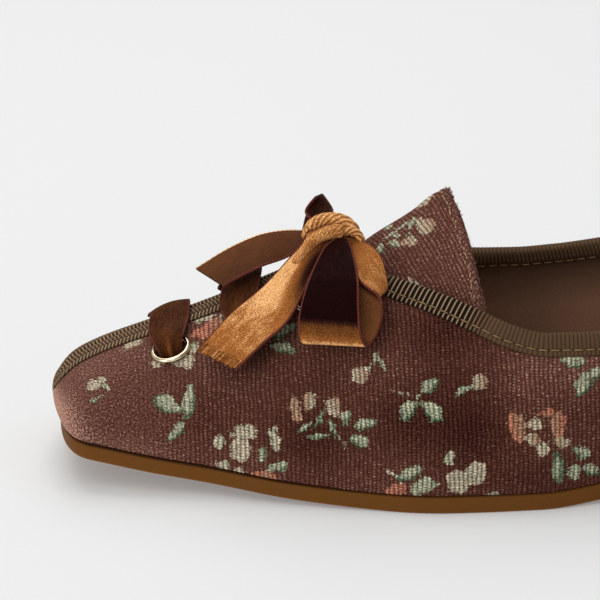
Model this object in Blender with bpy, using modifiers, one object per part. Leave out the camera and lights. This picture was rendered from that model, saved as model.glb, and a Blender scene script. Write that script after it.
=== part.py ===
"""A left-foot velvet flat that ties with a ribbon bow, built piece by piece on the sections of its last.

Lengths in this file are millimetres until they reach a mesh. "along" runs from the toe (0) to the heel,
a side is LATERAL (-1, the outer side of the foot) or MEDIAL (+1), and heights start at the floor.
"""

import math
from collections import namedtuple

import bmesh
import bpy
import numpy as np
from mathutils import Matrix, Vector

MM = 0.001
LATERAL = -1
MEDIAL = 1
SIDES = {"lateral": LATERAL, "medial": MEDIAL}

# Driving sizes of the last and the sole
LENGTH = 248.0
BALL_WIDTH = 82.0
INSTEP_HEIGHT = 51.5
HEEL_HEIGHT = 10.0
TOE_SPRING = 9.0
SOLE_THICKNESS = 4.2
SOLE_RIM = 0.8
WALL = 1.6
GAP = 0.3

# Roundness of the outline at its two ends, and of the wall above the sole
TOE_ROUND = 9.5
TOE_SQUARENESS = 2.6
HEEL_ROUND = 30.0
HEEL_SQUARENESS = 2.3
TUCK = 1.4
TUCK_HEIGHT = 10.0
TOE_SET_BACK = 1.2
HEEL_LEAN = 3.0
HEEL_LEAN_FROM = 18.0
HEEL_LEAN_RUN = 30.0

# One row for each section of the last. Widths are shares of the ball width and heights are shares of
# the instep height; peak is the exponent of the arch, lower for a sharper ridge.
Section = namedtuple("Section", "along axis lateral medial ridge peak")
SECTIONS = (
    Section(0, 0.055, 0.293, 0.268, 0.355, 2.00),
    Section(6, 0.051, 0.317, 0.288, 0.474, 1.90),
    Section(12, 0.049, 0.333, 0.302, 0.538, 1.80),
    Section(23, 0.044, 0.365, 0.330, 0.623, 1.65),
    Section(35, 0.039, 0.391, 0.362, 0.707, 1.60),
    Section(53, 0.030, 0.457, 0.415, 0.852, 1.55),
    Section(70, 0.024, 0.505, 0.450, 1.000, 1.50),
    Section(90, 0.018, 0.545, 0.460, 1.165, 1.50),
    Section(112, 0.012, 0.530, 0.427, 1.359, 1.50),
    Section(140, 0.006, 0.445, 0.366, 1.592, 1.55),
    Section(170, 0.000, 0.384, 0.341, 1.864, 1.65),
    Section(205, 0.000, 0.366, 0.360, 2.136, 1.80),
    Section(248, 0.000, 0.348, 0.348, 2.233, 1.90),
)

# The tread: height of the sole's underside. It is flat on the floor under the ball of the foot.
Tread = namedtuple("Tread", "along height")
TREAD = (
    Tread(0, TOE_SPRING),
    Tread(10, 0.80 * TOE_SPRING),
    Tread(20, 0.63 * TOE_SPRING),
    Tread(40, 0.34 * TOE_SPRING),
    Tread(60, 0.12 * TOE_SPRING),
    Tread(82, 0.0),
    Tread(112, 0.0),
    Tread(125, 0.09 * HEEL_HEIGHT),
    Tread(145, 0.32 * HEEL_HEIGHT),
    Tread(170, 0.68 * HEEL_HEIGHT),
    Tread(195, 0.95 * HEEL_HEIGHT),
    Tread(212, HEEL_HEIGHT),
    Tread(248, HEEL_HEIGHT),
)

# The bound edge: a narrow slit down the vamp, then the collar's height on each side behind the throat.
SLIT_START = 1.2
SLIT_TAPER = 2.6
THROAT = 66.0
Topline = namedtuple("Topline", "along lateral medial")
TOPLINE = (
    Topline(66, 49.6, 49.6),
    Topline(72, 49.0, 49.2),
    Topline(80, 47.9, 48.2),
    Topline(90, 45.8, 46.0),
    Topline(98, 43.3, 44.0),
    Topline(106, 40.2, 43.1),
    Topline(114, 38.6, 43.0),
    Topline(124, 38.6, 43.8),
    Topline(136, 39.8, 45.6),
    Topline(155, 42.8, 48.8),
    Topline(180, 48.0, 53.0),
    Topline(210, 55.0, 58.0),
    Topline(248, 62.0, 62.0),
)

BINDING_THICKNESS = 0.6
BINDING_OUTSIDE = 5.0
BINDING_INSIDE = 4.0
SLIT_HALF = GAP + BINDING_THICKNESS + GAP / 2

HEEL_BREAST = 194.0
HEEL_TAPER = 1.5
HEEL_INSET = 0.6
INSOLE_THICKNESS = 2.0
INSOLE_CLEARANCE = TUCK + WALL + 1.0
INSOLE_ENDS = INSOLE_CLEARANCE + 0.8
INSOLE_MARGIN = 1.0

# The tongue: its ridge rises through the throat, and its sides stay inside the upper.
TONGUE_THICKNESS = 1.4
TONGUE_SPAN_DEG = 50.0
TONGUE_CORNER_DROP = 7.8
TONGUE_TIP_ROUND = 0.12
Tongue = namedtuple("Tongue", "along ridge width_share")
TONGUE = (
    Tongue(57, 41.6, 0.60),
    Tongue(66, 45.6, 0.63),
    Tongue(71, 49.4, 0.65),
    Tongue(77, 54.0, 0.67),
    Tongue(86, 59.7, 0.72),
    Tongue(91.5, 64.0, 0.75),
    Tongue(94.3, 65.0, 0.77),
    Tongue(102.1, 68.4, 0.80),
)
TONGUE_TIP = 94.3

EYELET_ALONG = (28.3, 45.5, 61.5)
EYELET_OFFSET = 12.8
EYELET_HOLE = 3.9
EYELET_STEPS = 14
# The grommet's turned profile, as radius and height over the upper's outer face
EYELET_PROFILE = (
    (3.3, -2.5),
    (4.2, -2.3),
    (3.6, -2.0),
    (3.6, 0.3),
    (4.85, 0.3),
    (4.7, 0.8),
    (4.1, 1.05),
    (3.4, 0.8),
)

# Ribbon: bars between the eyelets, then the bow's knot, loops and tails
RIBBON_THICKNESS = 0.8
BAR_THICKNESS = 1.4
BAR_CREST = (3.2, 4.4, 3.0)
Bar = namedtuple("Bar", "lift toward width")
BAR_SIDE = (
    Bar(-0.9, 0.0, 3.4),
    Bar(1.3, 0.2, 4.0),
    Bar(2.8, 2.4, 7.0),
)
BAR_SHOULDER_OFFSET = 6.0
BAR_SHOULDER_SHARE = 0.65
BAR_WIDTH = 9.5
KNOT_CENTRE = (67.6, -0.8, 56.0)
KNOT_RADII = (6.2, 4.4, 3.3)

# Each row is a place along a ribbon: the points of its two selvedges, as (along, across, height)
LOOP_LATERAL = (
    ((67.8, -7.6, 56.3), (69.9, -7.8, 55.6)),
    ((64.3, -10.5, 54.1), (70.6, -12.6, 53.8)),
    ((60.7, -17.0, 49.3), (71.1, -20.8, 50.2)),
    ((58.3, -22.5, 44.5), (70.8, -26.3, 44.8)),
    ((57.4, -25.6, 40.0), (71.0, -29.6, 39.8)),
    ((58.1, -25.3, 36.5), (72.5, -29.3, 36.6)),
    ((61.2, -23.5, 36.8), (74.7, -27.6, 38.4)),
    ((65.6, -19.6, 42.0), (76.1, -26.2, 41.5)),
    ((70.4, -18.0, 48.0), (76.4, -25.8, 44.2)),
    ((77.8, -17.8, 45.8), (75.8, -23.8, 46.7)),
    ((77.9, -14.6, 50.6), (72.2, -19.6, 48.7)),
    ((76.4, -10.4, 53.5), (71.1, -15.4, 51.0)),
    ((73.7, -6.8, 54.7), (70.2, -9.6, 53.2)),
    ((71.5, -5.4, 55.3), (69.8, -6.2, 54.1)),
)
TAIL_LATERAL = (
    ((61.8, -6.2, 57.5), (67.4, -6.0, 57.5)),
    ((59.6, -6.6, 54.7), (64.7, -8.2, 54.3)),
    ((56.3, -6.8, 50.7), (61.7, -11.0, 49.4)),
    ((50.2, -8.3, 44.5), (55.5, -19.6, 40.4)),
    ((42.3, -12.8, 39.3), (49.5, -23.2, 36.0)),
    ((34.5, -18.4, 32.8), (43.0, -25.6, 30.5)),
)
LOOP_MEDIAL = (
    ((62.8, 4.9, 56.7), (66.9, 5.2, 57.8)),
    ((61.4, 8.0, 58.4), (67.6, 8.4, 58.6)),
    ((63.9, 8.6, 61.6), (65.7, 15.0, 60.4)),
    ((62.6, 15.8, 56.0), (67.8, 16.4, 56.0)),
    ((62.2, 22.6, 51.4), (69.2, 23.8, 51.6)),
    ((60.8, 27.4, 41.0), (71.6, 28.8, 41.6)),
    ((61.0, 28.4, 36.4), (72.0, 29.8, 37.0)),
    ((62.0, 25.8, 37.6), (72.0, 27.2, 38.2)),
    ((63.4, 19.6, 47.0), (70.4, 20.6, 47.6)),
    ((65.4, 11.6, 53.0), (69.6, 12.0, 53.4)),
    ((66.4, 6.2, 54.6), (69.0, 6.4, 55.0)),
)
TAIL_MEDIAL = (
    ((61.7, 2.6, 54.9), (60.6, -2.6, 52.8)),
    ((56.1, 4.2, 54.6), (55.4, -2.4, 49.9)),
    ((49.7, 4.6, 53.4), (49.9, -4.0, 48.5)),
    ((42.3, 4.2, 50.2), (43.4, -5.0, 45.6)),
    ((34.9, 4.0, 45.6), (40.8, -5.6, 44.2)),
)
RIBBON_STEPS = 3

Finish = namedtuple("Finish", "colour roughness metallic")
FINISHES = {
    "velvet": Finish((0.095, 0.043, 0.036), 0.90, 0.0),
    "grosgrain": Finish((0.110, 0.078, 0.045), 0.80, 0.0),
    "rubber": Finish((0.270, 0.125, 0.035), 0.55, 0.0),
    "lining": Finish((0.150, 0.092, 0.078), 0.85, 0.0),
    "ribbon": Finish((0.380, 0.190, 0.060), 0.70, 0.0),
    "gold": Finish((0.830, 0.690, 0.420), 0.25, 1.0),
}


def smooth(table, column, along):
    """A column of a table read at any place along the shoe, by a curve that never overshoots its rows."""
    places = np.array([row.along for row in table], float)
    values = np.array([getattr(row, column) for row in table], float)
    steps = np.diff(places)
    slopes = np.diff(values) / steps
    tangents = np.zeros_like(values)
    tangents[0] = slopes[0]
    tangents[-1] = slopes[-1]
    for i in range(1, len(values) - 1):
        if slopes[i - 1] * slopes[i] > 0:
            before = 2 * steps[i] + steps[i - 1]
            after = steps[i] + 2 * steps[i - 1]
            tangents[i] = (before + after) / (before / slopes[i - 1] + after / slopes[i])
    along = np.clip(np.asarray(along, float), places[0], places[-1])
    i = np.clip(np.searchsorted(places, along, side="right") - 1, 0, len(steps) - 1)
    t = (along - places[i]) / steps[i]
    start = (2 * t**3 - 3 * t**2 + 1) * values[i] + (t**3 - 2 * t**2 + t) * steps[i] * tangents[i]
    end = (3 * t**2 - 2 * t**3) * values[i + 1] + (t**3 - t**2) * steps[i] * tangents[i + 1]
    return start + end


def ease_toe(along):
    return np.clip(1 - np.asarray(along, float) / TOE_ROUND, 0, 1)


def ease_heel(along):
    return np.clip(1 - (LENGTH - np.asarray(along, float)) / HEEL_ROUND, 0, 1)


def half_width(along, side):
    """Half the last's width from its axis, drawn in at both ends to a rounded square."""
    share = smooth(SECTIONS, "lateral" if side == LATERAL else "medial", along)
    toe = (1 - ease_toe(along) ** TOE_SQUARENESS) ** (1 / TOE_SQUARENESS)
    heel = (1 - ease_heel(along) ** HEEL_SQUARENESS) ** (1 / HEEL_SQUARENESS)
    return share * BALL_WIDTH * toe * heel


def axis(along):
    return smooth(SECTIONS, "axis", along) * BALL_WIDTH


def ridge(along):
    return smooth(SECTIONS, "ridge", along) * INSTEP_HEIGHT


def feather(along):
    """Height of the line where the upper meets the sole."""
    return smooth(TREAD, "height", along) + SOLE_THICKNESS


def last_point(along, side, angle):
    """A point of the last's surface: angle 0 is at the feather line and 90 degrees at the ridge."""
    along, angle = np.broadcast_arrays(np.asarray(along, float), np.asarray(angle, float))
    power = 2 / smooth(SECTIONS, "peak", along)
    base = feather(along)
    rise = (ridge(along) - base) * np.sin(angle) ** power
    half = half_width(along, side)
    low = np.clip(1 - rise / TUCK_HEIGHT, 0, 1) ** 2
    reach = half * np.clip(np.cos(angle), 0, 1) ** power
    reach = np.maximum(reach - TUCK * low * np.minimum(1, half / 8), 0)
    lean = HEEL_LEAN * (np.clip(rise - HEEL_LEAN_FROM, 0, None) / HEEL_LEAN_RUN) ** 2
    x = along + TUCK * low * ease_toe(along) ** 2 - (TUCK * low + lean) * ease_heel(along) ** 2
    return np.stack([x, axis(along) + side * reach, base + rise], axis=-1)


def offset_angle(along, side, offset):
    """The angle at which the surface is the given distance across from the last's axis."""
    share = np.clip(offset / np.maximum(half_width(along, side), 1e-6), 0, 1)
    return np.arccos(share ** (smooth(SECTIONS, "peak", along) / 2))


def edge_angle(along, side):
    """The angle of the upper's bound edge: the slit down the vamp, then the topline."""
    along = np.asarray(along, float)
    slit = SLIT_HALF * np.clip((along - SLIT_START) / SLIT_TAPER, 0, 1)
    height = smooth(TOPLINE, "lateral" if side == LATERAL else "medial", along)
    share = np.clip((height - feather(along)) / (ridge(along) - feather(along)), 0, 1)
    collar = np.arcsin(share ** (smooth(SECTIONS, "peak", along) / 2))
    return np.where(along < THROAT, offset_angle(along, side, slit), collar)


def surface_normal(along, side, angle):
    """The outward normal of the last, from short steps on its surface."""
    step = 0.05
    ahead = last_point(np.minimum(along + step, LENGTH), side, angle)
    behind = last_point(np.maximum(along - step, 0), side, angle)
    above = last_point(along, side, np.minimum(angle + 0.01, math.pi / 2))
    below = last_point(along, side, np.maximum(angle - 0.01, 0))
    normal = np.cross(ahead - behind, above - below) * -side
    return normal / np.linalg.norm(normal, axis=-1, keepdims=True)


def stations():
    """Places along the shoe, closer together where the outline turns and at the throat."""
    toe = TOE_ROUND * np.linspace(0, 1, 9) ** 2.2
    vamp = np.arange(13.5, 60, 6.5)
    throat = THROAT + np.array([-5, -2, 0, 1, 2.2, 3.6, 5.5, 8, 11, 15, 20, 25, 30, 36, 43])
    quarter = np.linspace(THROAT + 55, LENGTH - HEEL_ROUND, 7)
    heel = LENGTH - HEEL_ROUND * np.linspace(0.88, 0, 8) ** 2.2
    slit_end = [SLIT_START, SLIT_START + SLIT_TAPER]
    return np.unique(np.round(np.concatenate([toe, slit_end, vamp, throat, quarter, heel]), 3))


def smooth_path(rows, steps):
    """Rows of numbers run through by one smooth curve, with the given steps between two rows."""
    rows = np.asarray(rows, float)
    padded = np.concatenate([[2 * rows[0] - rows[1]], rows, [2 * rows[-1] - rows[-2]]])
    path = []
    for i in range(1, len(padded) - 2):
        a, b, c, d = padded[i - 1 : i + 3]
        for t in np.arange(steps) / steps:
            bend = (2 * a - 5 * b + 4 * c - d) * t**2
            twist = (3 * b - a - 3 * c + d) * t**3
            path.append(0.5 * (2 * b + (c - a) * t + bend + twist))
    path.append(rows[-1])
    return np.array(path)


def unit(vectors):
    return vectors / np.linalg.norm(vectors, axis=-1, keepdims=True)


def material(name):
    found = bpy.data.materials.get(name)
    if found:
        return found
    made = bpy.data.materials.new(name)
    made.use_nodes = True
    shader = made.node_tree.nodes["Principled BSDF"]
    finish = FINISHES[name]
    shader.inputs["Base Color"].default_value = (*finish.colour, 1)
    shader.inputs["Roughness"].default_value = finish.roughness
    shader.inputs["Metallic"].default_value = finish.metallic
    made.diffuse_color = (*finish.colour, 1)
    return made


def place(mesh, name, finish):
    """An object in the shoe's collection, under the empty that carries the whole shoe."""
    mesh.materials.append(material(finish))
    piece = bpy.data.objects.new(name, mesh)
    SHOE.objects.link(piece)
    piece.parent = ORIGIN
    return piece


def finish_mesh(form, name, finish):
    bmesh.ops.recalc_face_normals(form, faces=form.faces)
    mesh = bpy.data.meshes.new(name)
    form.to_mesh(mesh)
    form.free()
    return place(mesh, name, finish)


def loft(name, rings, finish):
    """A closed body through a row of rings with the same number of points, capped at both ends."""
    form = bmesh.new()
    made = [[form.verts.new(Vector(point) * MM) for point in ring] for ring in rings]
    count = len(made[0])
    for first, second in zip(made, made[1:]):
        for i in range(count):
            j = (i + 1) % count
            form.faces.new((first[i], first[j], second[j], second[i]))
    form.faces.new(made[0])
    form.faces.new(made[-1][::-1])
    return finish_mesh(form, name, finish)


def grid_faces(form, grid):
    """Quads over a grid of points."""
    made = [[form.verts.new(Vector(point) * MM) for point in row] for row in grid]
    for first, second in zip(made, made[1:]):
        for i in range(len(first) - 1):
            form.faces.new((first[i], first[i + 1], second[i + 1], second[i]))


def give_wall(piece, thickness):
    wall = piece.modifiers.new("wall", "SOLIDIFY")
    wall.thickness = thickness * MM
    wall.offset = -1


def sole_plan(along, inset):
    """The sole's outline at a station: its place along the shoe and its two edges across."""
    rim = SOLE_RIM - inset
    x = along + (TUCK - rim) * (ease_toe(along) ** 2 - ease_heel(along) ** 2)
    x = x + TOE_SET_BACK * ease_toe(along) ** 2
    grow = rim - TUCK
    left = axis(along) - half_width(along, LATERAL) - grow
    right = axis(along) + half_width(along, MEDIAL) + grow
    return x, left, right


def sole_stations(first, last):
    inner = [s for s in stations() if first + 0.4 < s < last - 0.4]
    flats = [row.along for row in TREAD if row.height == 0]
    return np.unique([first, *inner, *flats, last])


def outsole():
    top_round, tread_round = 0.5, 0.9
    rings = []
    for along in sole_stations(0.25, LENGTH - 0.25):
        x, left, right = sole_plan(along, 0)
        low = float(smooth(TREAD, "height", along))
        high = low + SOLE_THICKNESS - GAP
        rings.append(
            [
                (x, left + top_round, high),
                (x, left, high - top_round),
                (x, left, low + tread_round),
                (x, left + tread_round, low),
                (x, right - tread_round, low),
                (x, right, low + tread_round),
                (x, right, high - top_round),
                (x, right - top_round, high),
            ]
        )
    return loft("outsole", rings, "rubber")


def heel():
    rings = []
    places = sole_stations(HEEL_BREAST, LENGTH - 0.6)
    for along in places[places >= HEEL_BREAST]:
        x, left, right = sole_plan(along, HEEL_INSET)
        x_low, left_low, right_low = sole_plan(along, HEEL_INSET + HEEL_TAPER)
        high = float(smooth(TREAD, "height", along)) - GAP
        rings.append([(x, left, high), (x_low, left_low, 0), (x_low, right_low, 0), (x, right, high)])
    return loft("heel", rings, "rubber")


def insole():
    """The last's outline, drawn in all round to lie inside the upper."""
    shrink = 1 - 2 * INSOLE_CLEARANCE / BALL_WIDTH
    rings = []
    for along in sole_stations(0.25, LENGTH - 0.25):
        x = INSOLE_ENDS + along * (1 - 2 * INSOLE_ENDS / LENGTH)
        left = axis(along) - half_width(along, LATERAL) * shrink + INSOLE_MARGIN
        right = axis(along) + half_width(along, MEDIAL) * shrink - INSOLE_MARGIN
        low = float(feather(x))
        high = low + INSOLE_THICKNESS
        rings.append([(x, left, high), (x, left, low), (x, right, low), (x, right, high)])
    return loft("insole", rings, "lining")


def upper():
    """Both halves of the upper in one wall, joined below the slit at the toe and down the heel's back."""
    rows = np.linspace(0, 1, 9)
    form = bmesh.new()
    for side in SIDES.values():
        grid = [last_point(along, side, edge_angle(along, side) * rows) for along in stations()]
        grid_faces(form, grid)
    bmesh.ops.remove_doubles(form, verts=form.verts, dist=0.02 * MM)
    piece = finish_mesh(form, "upper", "velvet")
    give_wall(piece, WALL)
    punch = piece.modifiers.new("eyelet holes", "BOOLEAN")
    punch.operand_type = "COLLECTION"
    punch.collection = CUTTERS
    punch.solver = "EXACT"
    return piece


def tongue_point(along, side, angle):
    power = 2 / smooth(SECTIONS, "peak", along)
    base = feather(along)
    reach = smooth(TONGUE, "width_share", along) * half_width(along, side) * np.cos(angle) ** power
    height = base + (smooth(TONGUE, "ridge", along) - base) * np.sin(angle) ** power
    return np.stack([along, axis(along) + side * reach, height], axis=-1)


def tongue():
    """A curved sheet that comes up through the throat, its back edge a little longer at the sides."""
    grid = []
    for turn in np.linspace(-1, 1, 15):
        end = TONGUE_TIP + TONGUE_CORNER_DROP * (math.hypot(turn, TONGUE_TIP_ROUND) - TONGUE_TIP_ROUND)
        along = np.linspace(TONGUE[0].along, end, 11)
        angle = math.pi / 2 - abs(turn) * math.radians(TONGUE_SPAN_DEG)
        grid.append(tongue_point(along, math.copysign(1, turn), angle))
    form = bmesh.new()
    grid_faces(form, grid)
    piece = finish_mesh(form, "tongue", "velvet")
    if piece.data.polygons[0].normal.z < 0:
        piece.data.flip_normals()
    give_wall(piece, TONGUE_THICKNESS)
    return piece


def below_edge(along, side, distance):
    """The angle that lies a distance below the bound edge, measured square to the edge over the surface."""
    top = float(edge_angle(along, side))
    angles = np.linspace(top, 0, 80)
    points = last_point(along, side, angles)
    run = np.concatenate([[0], np.cumsum(np.linalg.norm(np.diff(points, axis=0), axis=1))])
    step = 0.4
    near = np.array([max(along - step, 0), min(along + step, LENGTH)])
    edge = unit(np.diff(last_point(near, side, edge_angle(near, side)), axis=0))[0]
    across = unit(points[1] - points[0])
    square = max(math.sqrt(max(1 - float(edge @ across) ** 2, 0)), 0.5)
    return float(np.interp(distance / square, run, angles))


def binding_ring(along, side):
    """The folded tape's section: outside leg, fold over the edge, inside leg."""
    skin = GAP + BINDING_THICKNESS

    def at(distance, lift):
        angle = below_edge(along, side, distance)
        return last_point(along, side, angle) + surface_normal(along, side, angle) * lift

    edge = at(0, 0)
    normal = surface_normal(along, side, below_edge(along, side, 0))
    up = unit(edge - at(0.5, 0))
    outside = [at(d, skin) for d in (BINDING_OUTSIDE, BINDING_OUTSIDE / 2, 0)]
    fold = [edge + up * skin, edge + up * skin - normal * WALL]
    inside = [at(d, -WALL - skin) for d in (0, BINDING_INSIDE)]
    inside_back = [at(d, -WALL - GAP) for d in (BINDING_INSIDE, 0)]
    fold_back = [edge + up * GAP - normal * WALL, edge + up * GAP]
    outside_back = [at(d, GAP) for d in (0, BINDING_OUTSIDE / 2, BINDING_OUTSIDE)]
    return outside + fold + inside + inside_back + fold_back + outside_back


def binding():
    """One tape from the toe up the lateral slit edge, round the collar and down the medial slit edge."""
    route = [s for s in stations() if s >= SLIT_START + SLIT_TAPER]
    rings = [binding_ring(along, LATERAL) for along in route]
    rings += [binding_ring(along, MEDIAL) for along in route[-2::-1]]
    return loft("binding", rings, "grosgrain")


def eyelet_place(along, side):
    """Where an eyelet sits: its point on the upper, the normal there, and the way toward the ridge."""
    angle = float(offset_angle(along, side, EYELET_OFFSET))
    point = last_point(along, side, angle)
    normal = surface_normal(along, side, angle)
    toward = last_point(along, side, angle + 0.02) - point
    return point, normal, unit(toward - normal * (toward @ normal))


def turn_to(point, normal):
    """The placement that stands a piece's own +Z on the surface."""
    turn = Vector((0, 0, 1)).rotation_difference(Vector(normal))
    return Matrix.Translation(Vector(point) * MM) @ turn.to_matrix().to_4x4()


def eyelets():
    for number, along in enumerate(EYELET_ALONG, start=1):
        for word, side in SIDES.items():
            point, normal, _ = eyelet_place(along, side)
            form = bmesh.new()
            profile = [form.verts.new((r * MM, 0, h * MM)) for r, h in EYELET_PROFILE]
            for first, second in zip(profile, profile[1:] + profile[:1]):
                form.edges.new((first, second))
            mesh = bpy.data.meshes.new(f"eyelet_{word}_{number}")
            form.to_mesh(mesh)
            form.free()
            piece = place(mesh, mesh.name, "gold")
            turned = piece.modifiers.new("turned", "SCREW")
            turned.steps = turned.render_steps = EYELET_STEPS
            turned.use_merge_vertices = True
            turned.merge_threshold = 0.01 * MM
            turned.use_normal_calculate = True
            turned.use_normal_flip = True
            piece.matrix_local = turn_to(point, normal)
            punch_hole(point, normal)


def punch_hole(point, normal):
    form = bmesh.new()
    bmesh.ops.create_cone(
        form, cap_ends=True, segments=16, radius1=EYELET_HOLE * MM, radius2=EYELET_HOLE * MM, depth=12 * MM
    )
    mesh = bpy.data.meshes.new("eyelet_cutter")
    form.to_mesh(mesh)
    form.free()
    cutter = bpy.data.objects.new("eyelet_cutter", mesh)
    CUTTERS.objects.link(cutter)
    cutter.parent = ORIGIN
    cutter.matrix_local = turn_to(point, normal)
    cutter.hide_render = True
    cutter.display_type = "WIRE"


def flat_rings(centres, across, widths, thickness):
    """Rings of a flat band: centre line, width direction and width at each place."""
    along = unit(np.gradient(centres, axis=0))
    face = unit(np.cross(along, across))
    rings = []
    for centre, wide, up, width in zip(centres, across, face, widths):
        side = wide * width / 2
        lift = up * thickness / 2
        rings.append(
            [
                centre - side,
                centre - side * 0.8 + lift,
                centre + side * 0.8 + lift,
                centre + side,
                centre + side * 0.8 - lift,
                centre - side * 0.8 - lift,
            ]
        )
    return rings


def lace_bar(number, along, crest):
    """A ribbon bar: out of one eyelet, over the bound slit and into the other, gathered at the holes."""
    rows = []
    for side in (LATERAL, MEDIAL):
        point, normal, toward = eyelet_place(along, side)
        half = [(*(point + normal * row.lift + toward * row.toward), row.width) for row in BAR_SIDE]
        angle = float(offset_angle(along, side, BAR_SHOULDER_OFFSET))
        lift = crest * BAR_SHOULDER_SHARE
        shoulder = last_point(along, side, angle) + surface_normal(along, side, angle) * lift
        half.append((*shoulder, BAR_WIDTH))
        rows.append(half)
    top = (along, float(axis(along)), float(ridge(along)) + crest, BAR_WIDTH)
    path = smooth_path([*rows[0], top, *rows[1][::-1]], 3)
    slope = last_point(np.array([along - 4, along + 4]), LATERAL, math.pi / 2)
    across = np.repeat(unit(np.diff(slope, axis=0)), len(path), axis=0)
    loft(f"lace_bar_{number}", flat_rings(path[:, :3], across, path[:, 3], BAR_THICKNESS), "ribbon")


def bow_ribbon(name, rows):
    """A free stretch of ribbon between its two selvedges."""
    path = smooth_path([(*first, *second) for first, second in rows], RIBBON_STEPS)
    first, second = path[:, :3], path[:, 3:]
    widths = np.linalg.norm(second - first, axis=1)
    loft(name, flat_rings((first + second) / 2, unit(second - first), widths, RIBBON_THICKNESS), "ribbon")


def bow_knot():
    form = bmesh.new()
    bmesh.ops.create_uvsphere(form, u_segments=14, v_segments=8, radius=MM)
    bmesh.ops.scale(form, vec=KNOT_RADII, verts=form.verts)
    bmesh.ops.translate(form, vec=Vector(KNOT_CENTRE) * MM, verts=form.verts)
    finish_mesh(form, "bow_knot", "ribbon")


def stand_on_origin():
    """Moves the empty so that the shoe without its free ribbon stands centred on the origin."""
    bpy.context.view_layer.update()
    graph = bpy.context.evaluated_depsgraph_get()
    corners = []
    for piece in SHOE.objects:
        if piece.type == "MESH" and not piece.name.startswith("bow_"):
            shown = piece.evaluated_get(graph)
            corners += [shown.matrix_world @ vertex.co for vertex in shown.data.vertices]
    low = np.min(corners, axis=0)
    high = np.max(corners, axis=0)
    ORIGIN.location = (-(low[0] + high[0]) / 2, -(low[1] + high[1]) / 2, -low[2])


for old in list(bpy.data.objects):
    bpy.data.objects.remove(old, do_unlink=True)

SHOE = bpy.data.collections.new("velvet_flat")
CUTTERS = bpy.data.collections.new("cutters")
bpy.context.scene.collection.children.link(SHOE)
bpy.context.scene.collection.children.link(CUTTERS)
ORIGIN = bpy.data.objects.new("shoe_origin", None)
SHOE.objects.link(ORIGIN)

outsole()
heel()
insole()
eyelets()
upper()
tongue()
binding()
for bar_number, (bar_along, bar_crest) in enumerate(zip(EYELET_ALONG, BAR_CREST), start=1):
    lace_bar(bar_number, bar_along, bar_crest)
bow_knot()
bow_ribbon("bow_loop_lateral", LOOP_LATERAL)
bow_ribbon("bow_tail_lateral", TAIL_LATERAL)
bow_ribbon("bow_loop_medial", LOOP_MEDIAL)
bow_ribbon("bow_tail_medial", TAIL_MEDIAL)
stand_on_origin()
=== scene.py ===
# %% [markdown]
# # A velvet flat that ties with a ribbon bow
# This lesson dresses a packed shoe: printed velvet halves, a ribbed tape bound over their edges, a ribbon
# laced through gold eyelets, a lining and a rubber sole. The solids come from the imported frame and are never
# moved. Each fine piece is worked out again on the same last, so it lies where its solid lies.

# %% Load the frame
import math
from collections import namedtuple

import bpy
import numpy as np
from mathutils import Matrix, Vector
from mathutils.bvhtree import BVHTree


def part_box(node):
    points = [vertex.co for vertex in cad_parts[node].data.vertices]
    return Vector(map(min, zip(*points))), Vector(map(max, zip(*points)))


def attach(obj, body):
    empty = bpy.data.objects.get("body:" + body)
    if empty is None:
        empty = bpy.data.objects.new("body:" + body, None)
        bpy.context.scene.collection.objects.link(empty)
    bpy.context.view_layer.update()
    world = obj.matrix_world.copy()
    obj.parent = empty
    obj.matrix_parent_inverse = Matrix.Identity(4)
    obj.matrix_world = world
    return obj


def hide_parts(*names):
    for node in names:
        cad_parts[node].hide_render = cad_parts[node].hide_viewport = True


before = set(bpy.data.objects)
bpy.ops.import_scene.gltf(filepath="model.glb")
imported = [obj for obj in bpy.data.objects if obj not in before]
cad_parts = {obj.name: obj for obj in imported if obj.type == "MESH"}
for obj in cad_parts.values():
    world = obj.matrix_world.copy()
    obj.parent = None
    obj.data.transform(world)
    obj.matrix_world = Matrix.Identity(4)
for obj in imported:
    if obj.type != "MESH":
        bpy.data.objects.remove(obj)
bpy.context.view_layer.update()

MM = 0.001
BODY = "root"
SCENE = bpy.context.scene
SCENE.view_settings.view_transform = "Standard"
print("frame nodes:", len(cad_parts))

# %% [markdown]
# ## The camera
# The photograph is a product close-up: a long lens, a little above the shoe, square to its outer side,
# with the heel running out of the picture. The view is stated as a product photographer would set it:
# what the lens points at, from which side, how high, how far, and how long the lens is.

# %% Camera
IMAGE_SIDE = 600
VIEW_AZIMUTH = math.radians(-4)
VIEW_ELEVATION = math.radians(17.5)
VIEW_DISTANCE = 0.650
VIEW_TARGET = Vector((-0.06478, 0.00199, 0.03865))
FOCAL_PIXELS = 2730

camera_data = bpy.data.cameras.new("photo_camera")
camera_data.sensor_width = 36
camera_data.lens = camera_data.sensor_width * FOCAL_PIXELS / IMAGE_SIDE
camera_data.clip_start = 0.01
camera = bpy.data.objects.new("photo_camera", camera_data)
toward_camera = Vector((
    math.sin(VIEW_AZIMUTH) * math.cos(VIEW_ELEVATION),
    -math.cos(VIEW_AZIMUTH) * math.cos(VIEW_ELEVATION),
    math.sin(VIEW_ELEVATION),
))
camera.location = VIEW_TARGET + toward_camera * VIEW_DISTANCE
camera.rotation_euler = (-toward_camera).to_track_quat("-Z", "Y").to_euler()
SCENE.collection.objects.link(camera)
SCENE.camera = camera
bpy.context.view_layer.update()
CAMERA_RIGHT, CAMERA_UP, CAMERA_BACK = (Vector(axis) for axis in camera.matrix_world.to_3x3().transposed())
print("camera at", [round(value, 3) for value in camera.location], "lens", round(camera_data.lens, 1))


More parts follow.
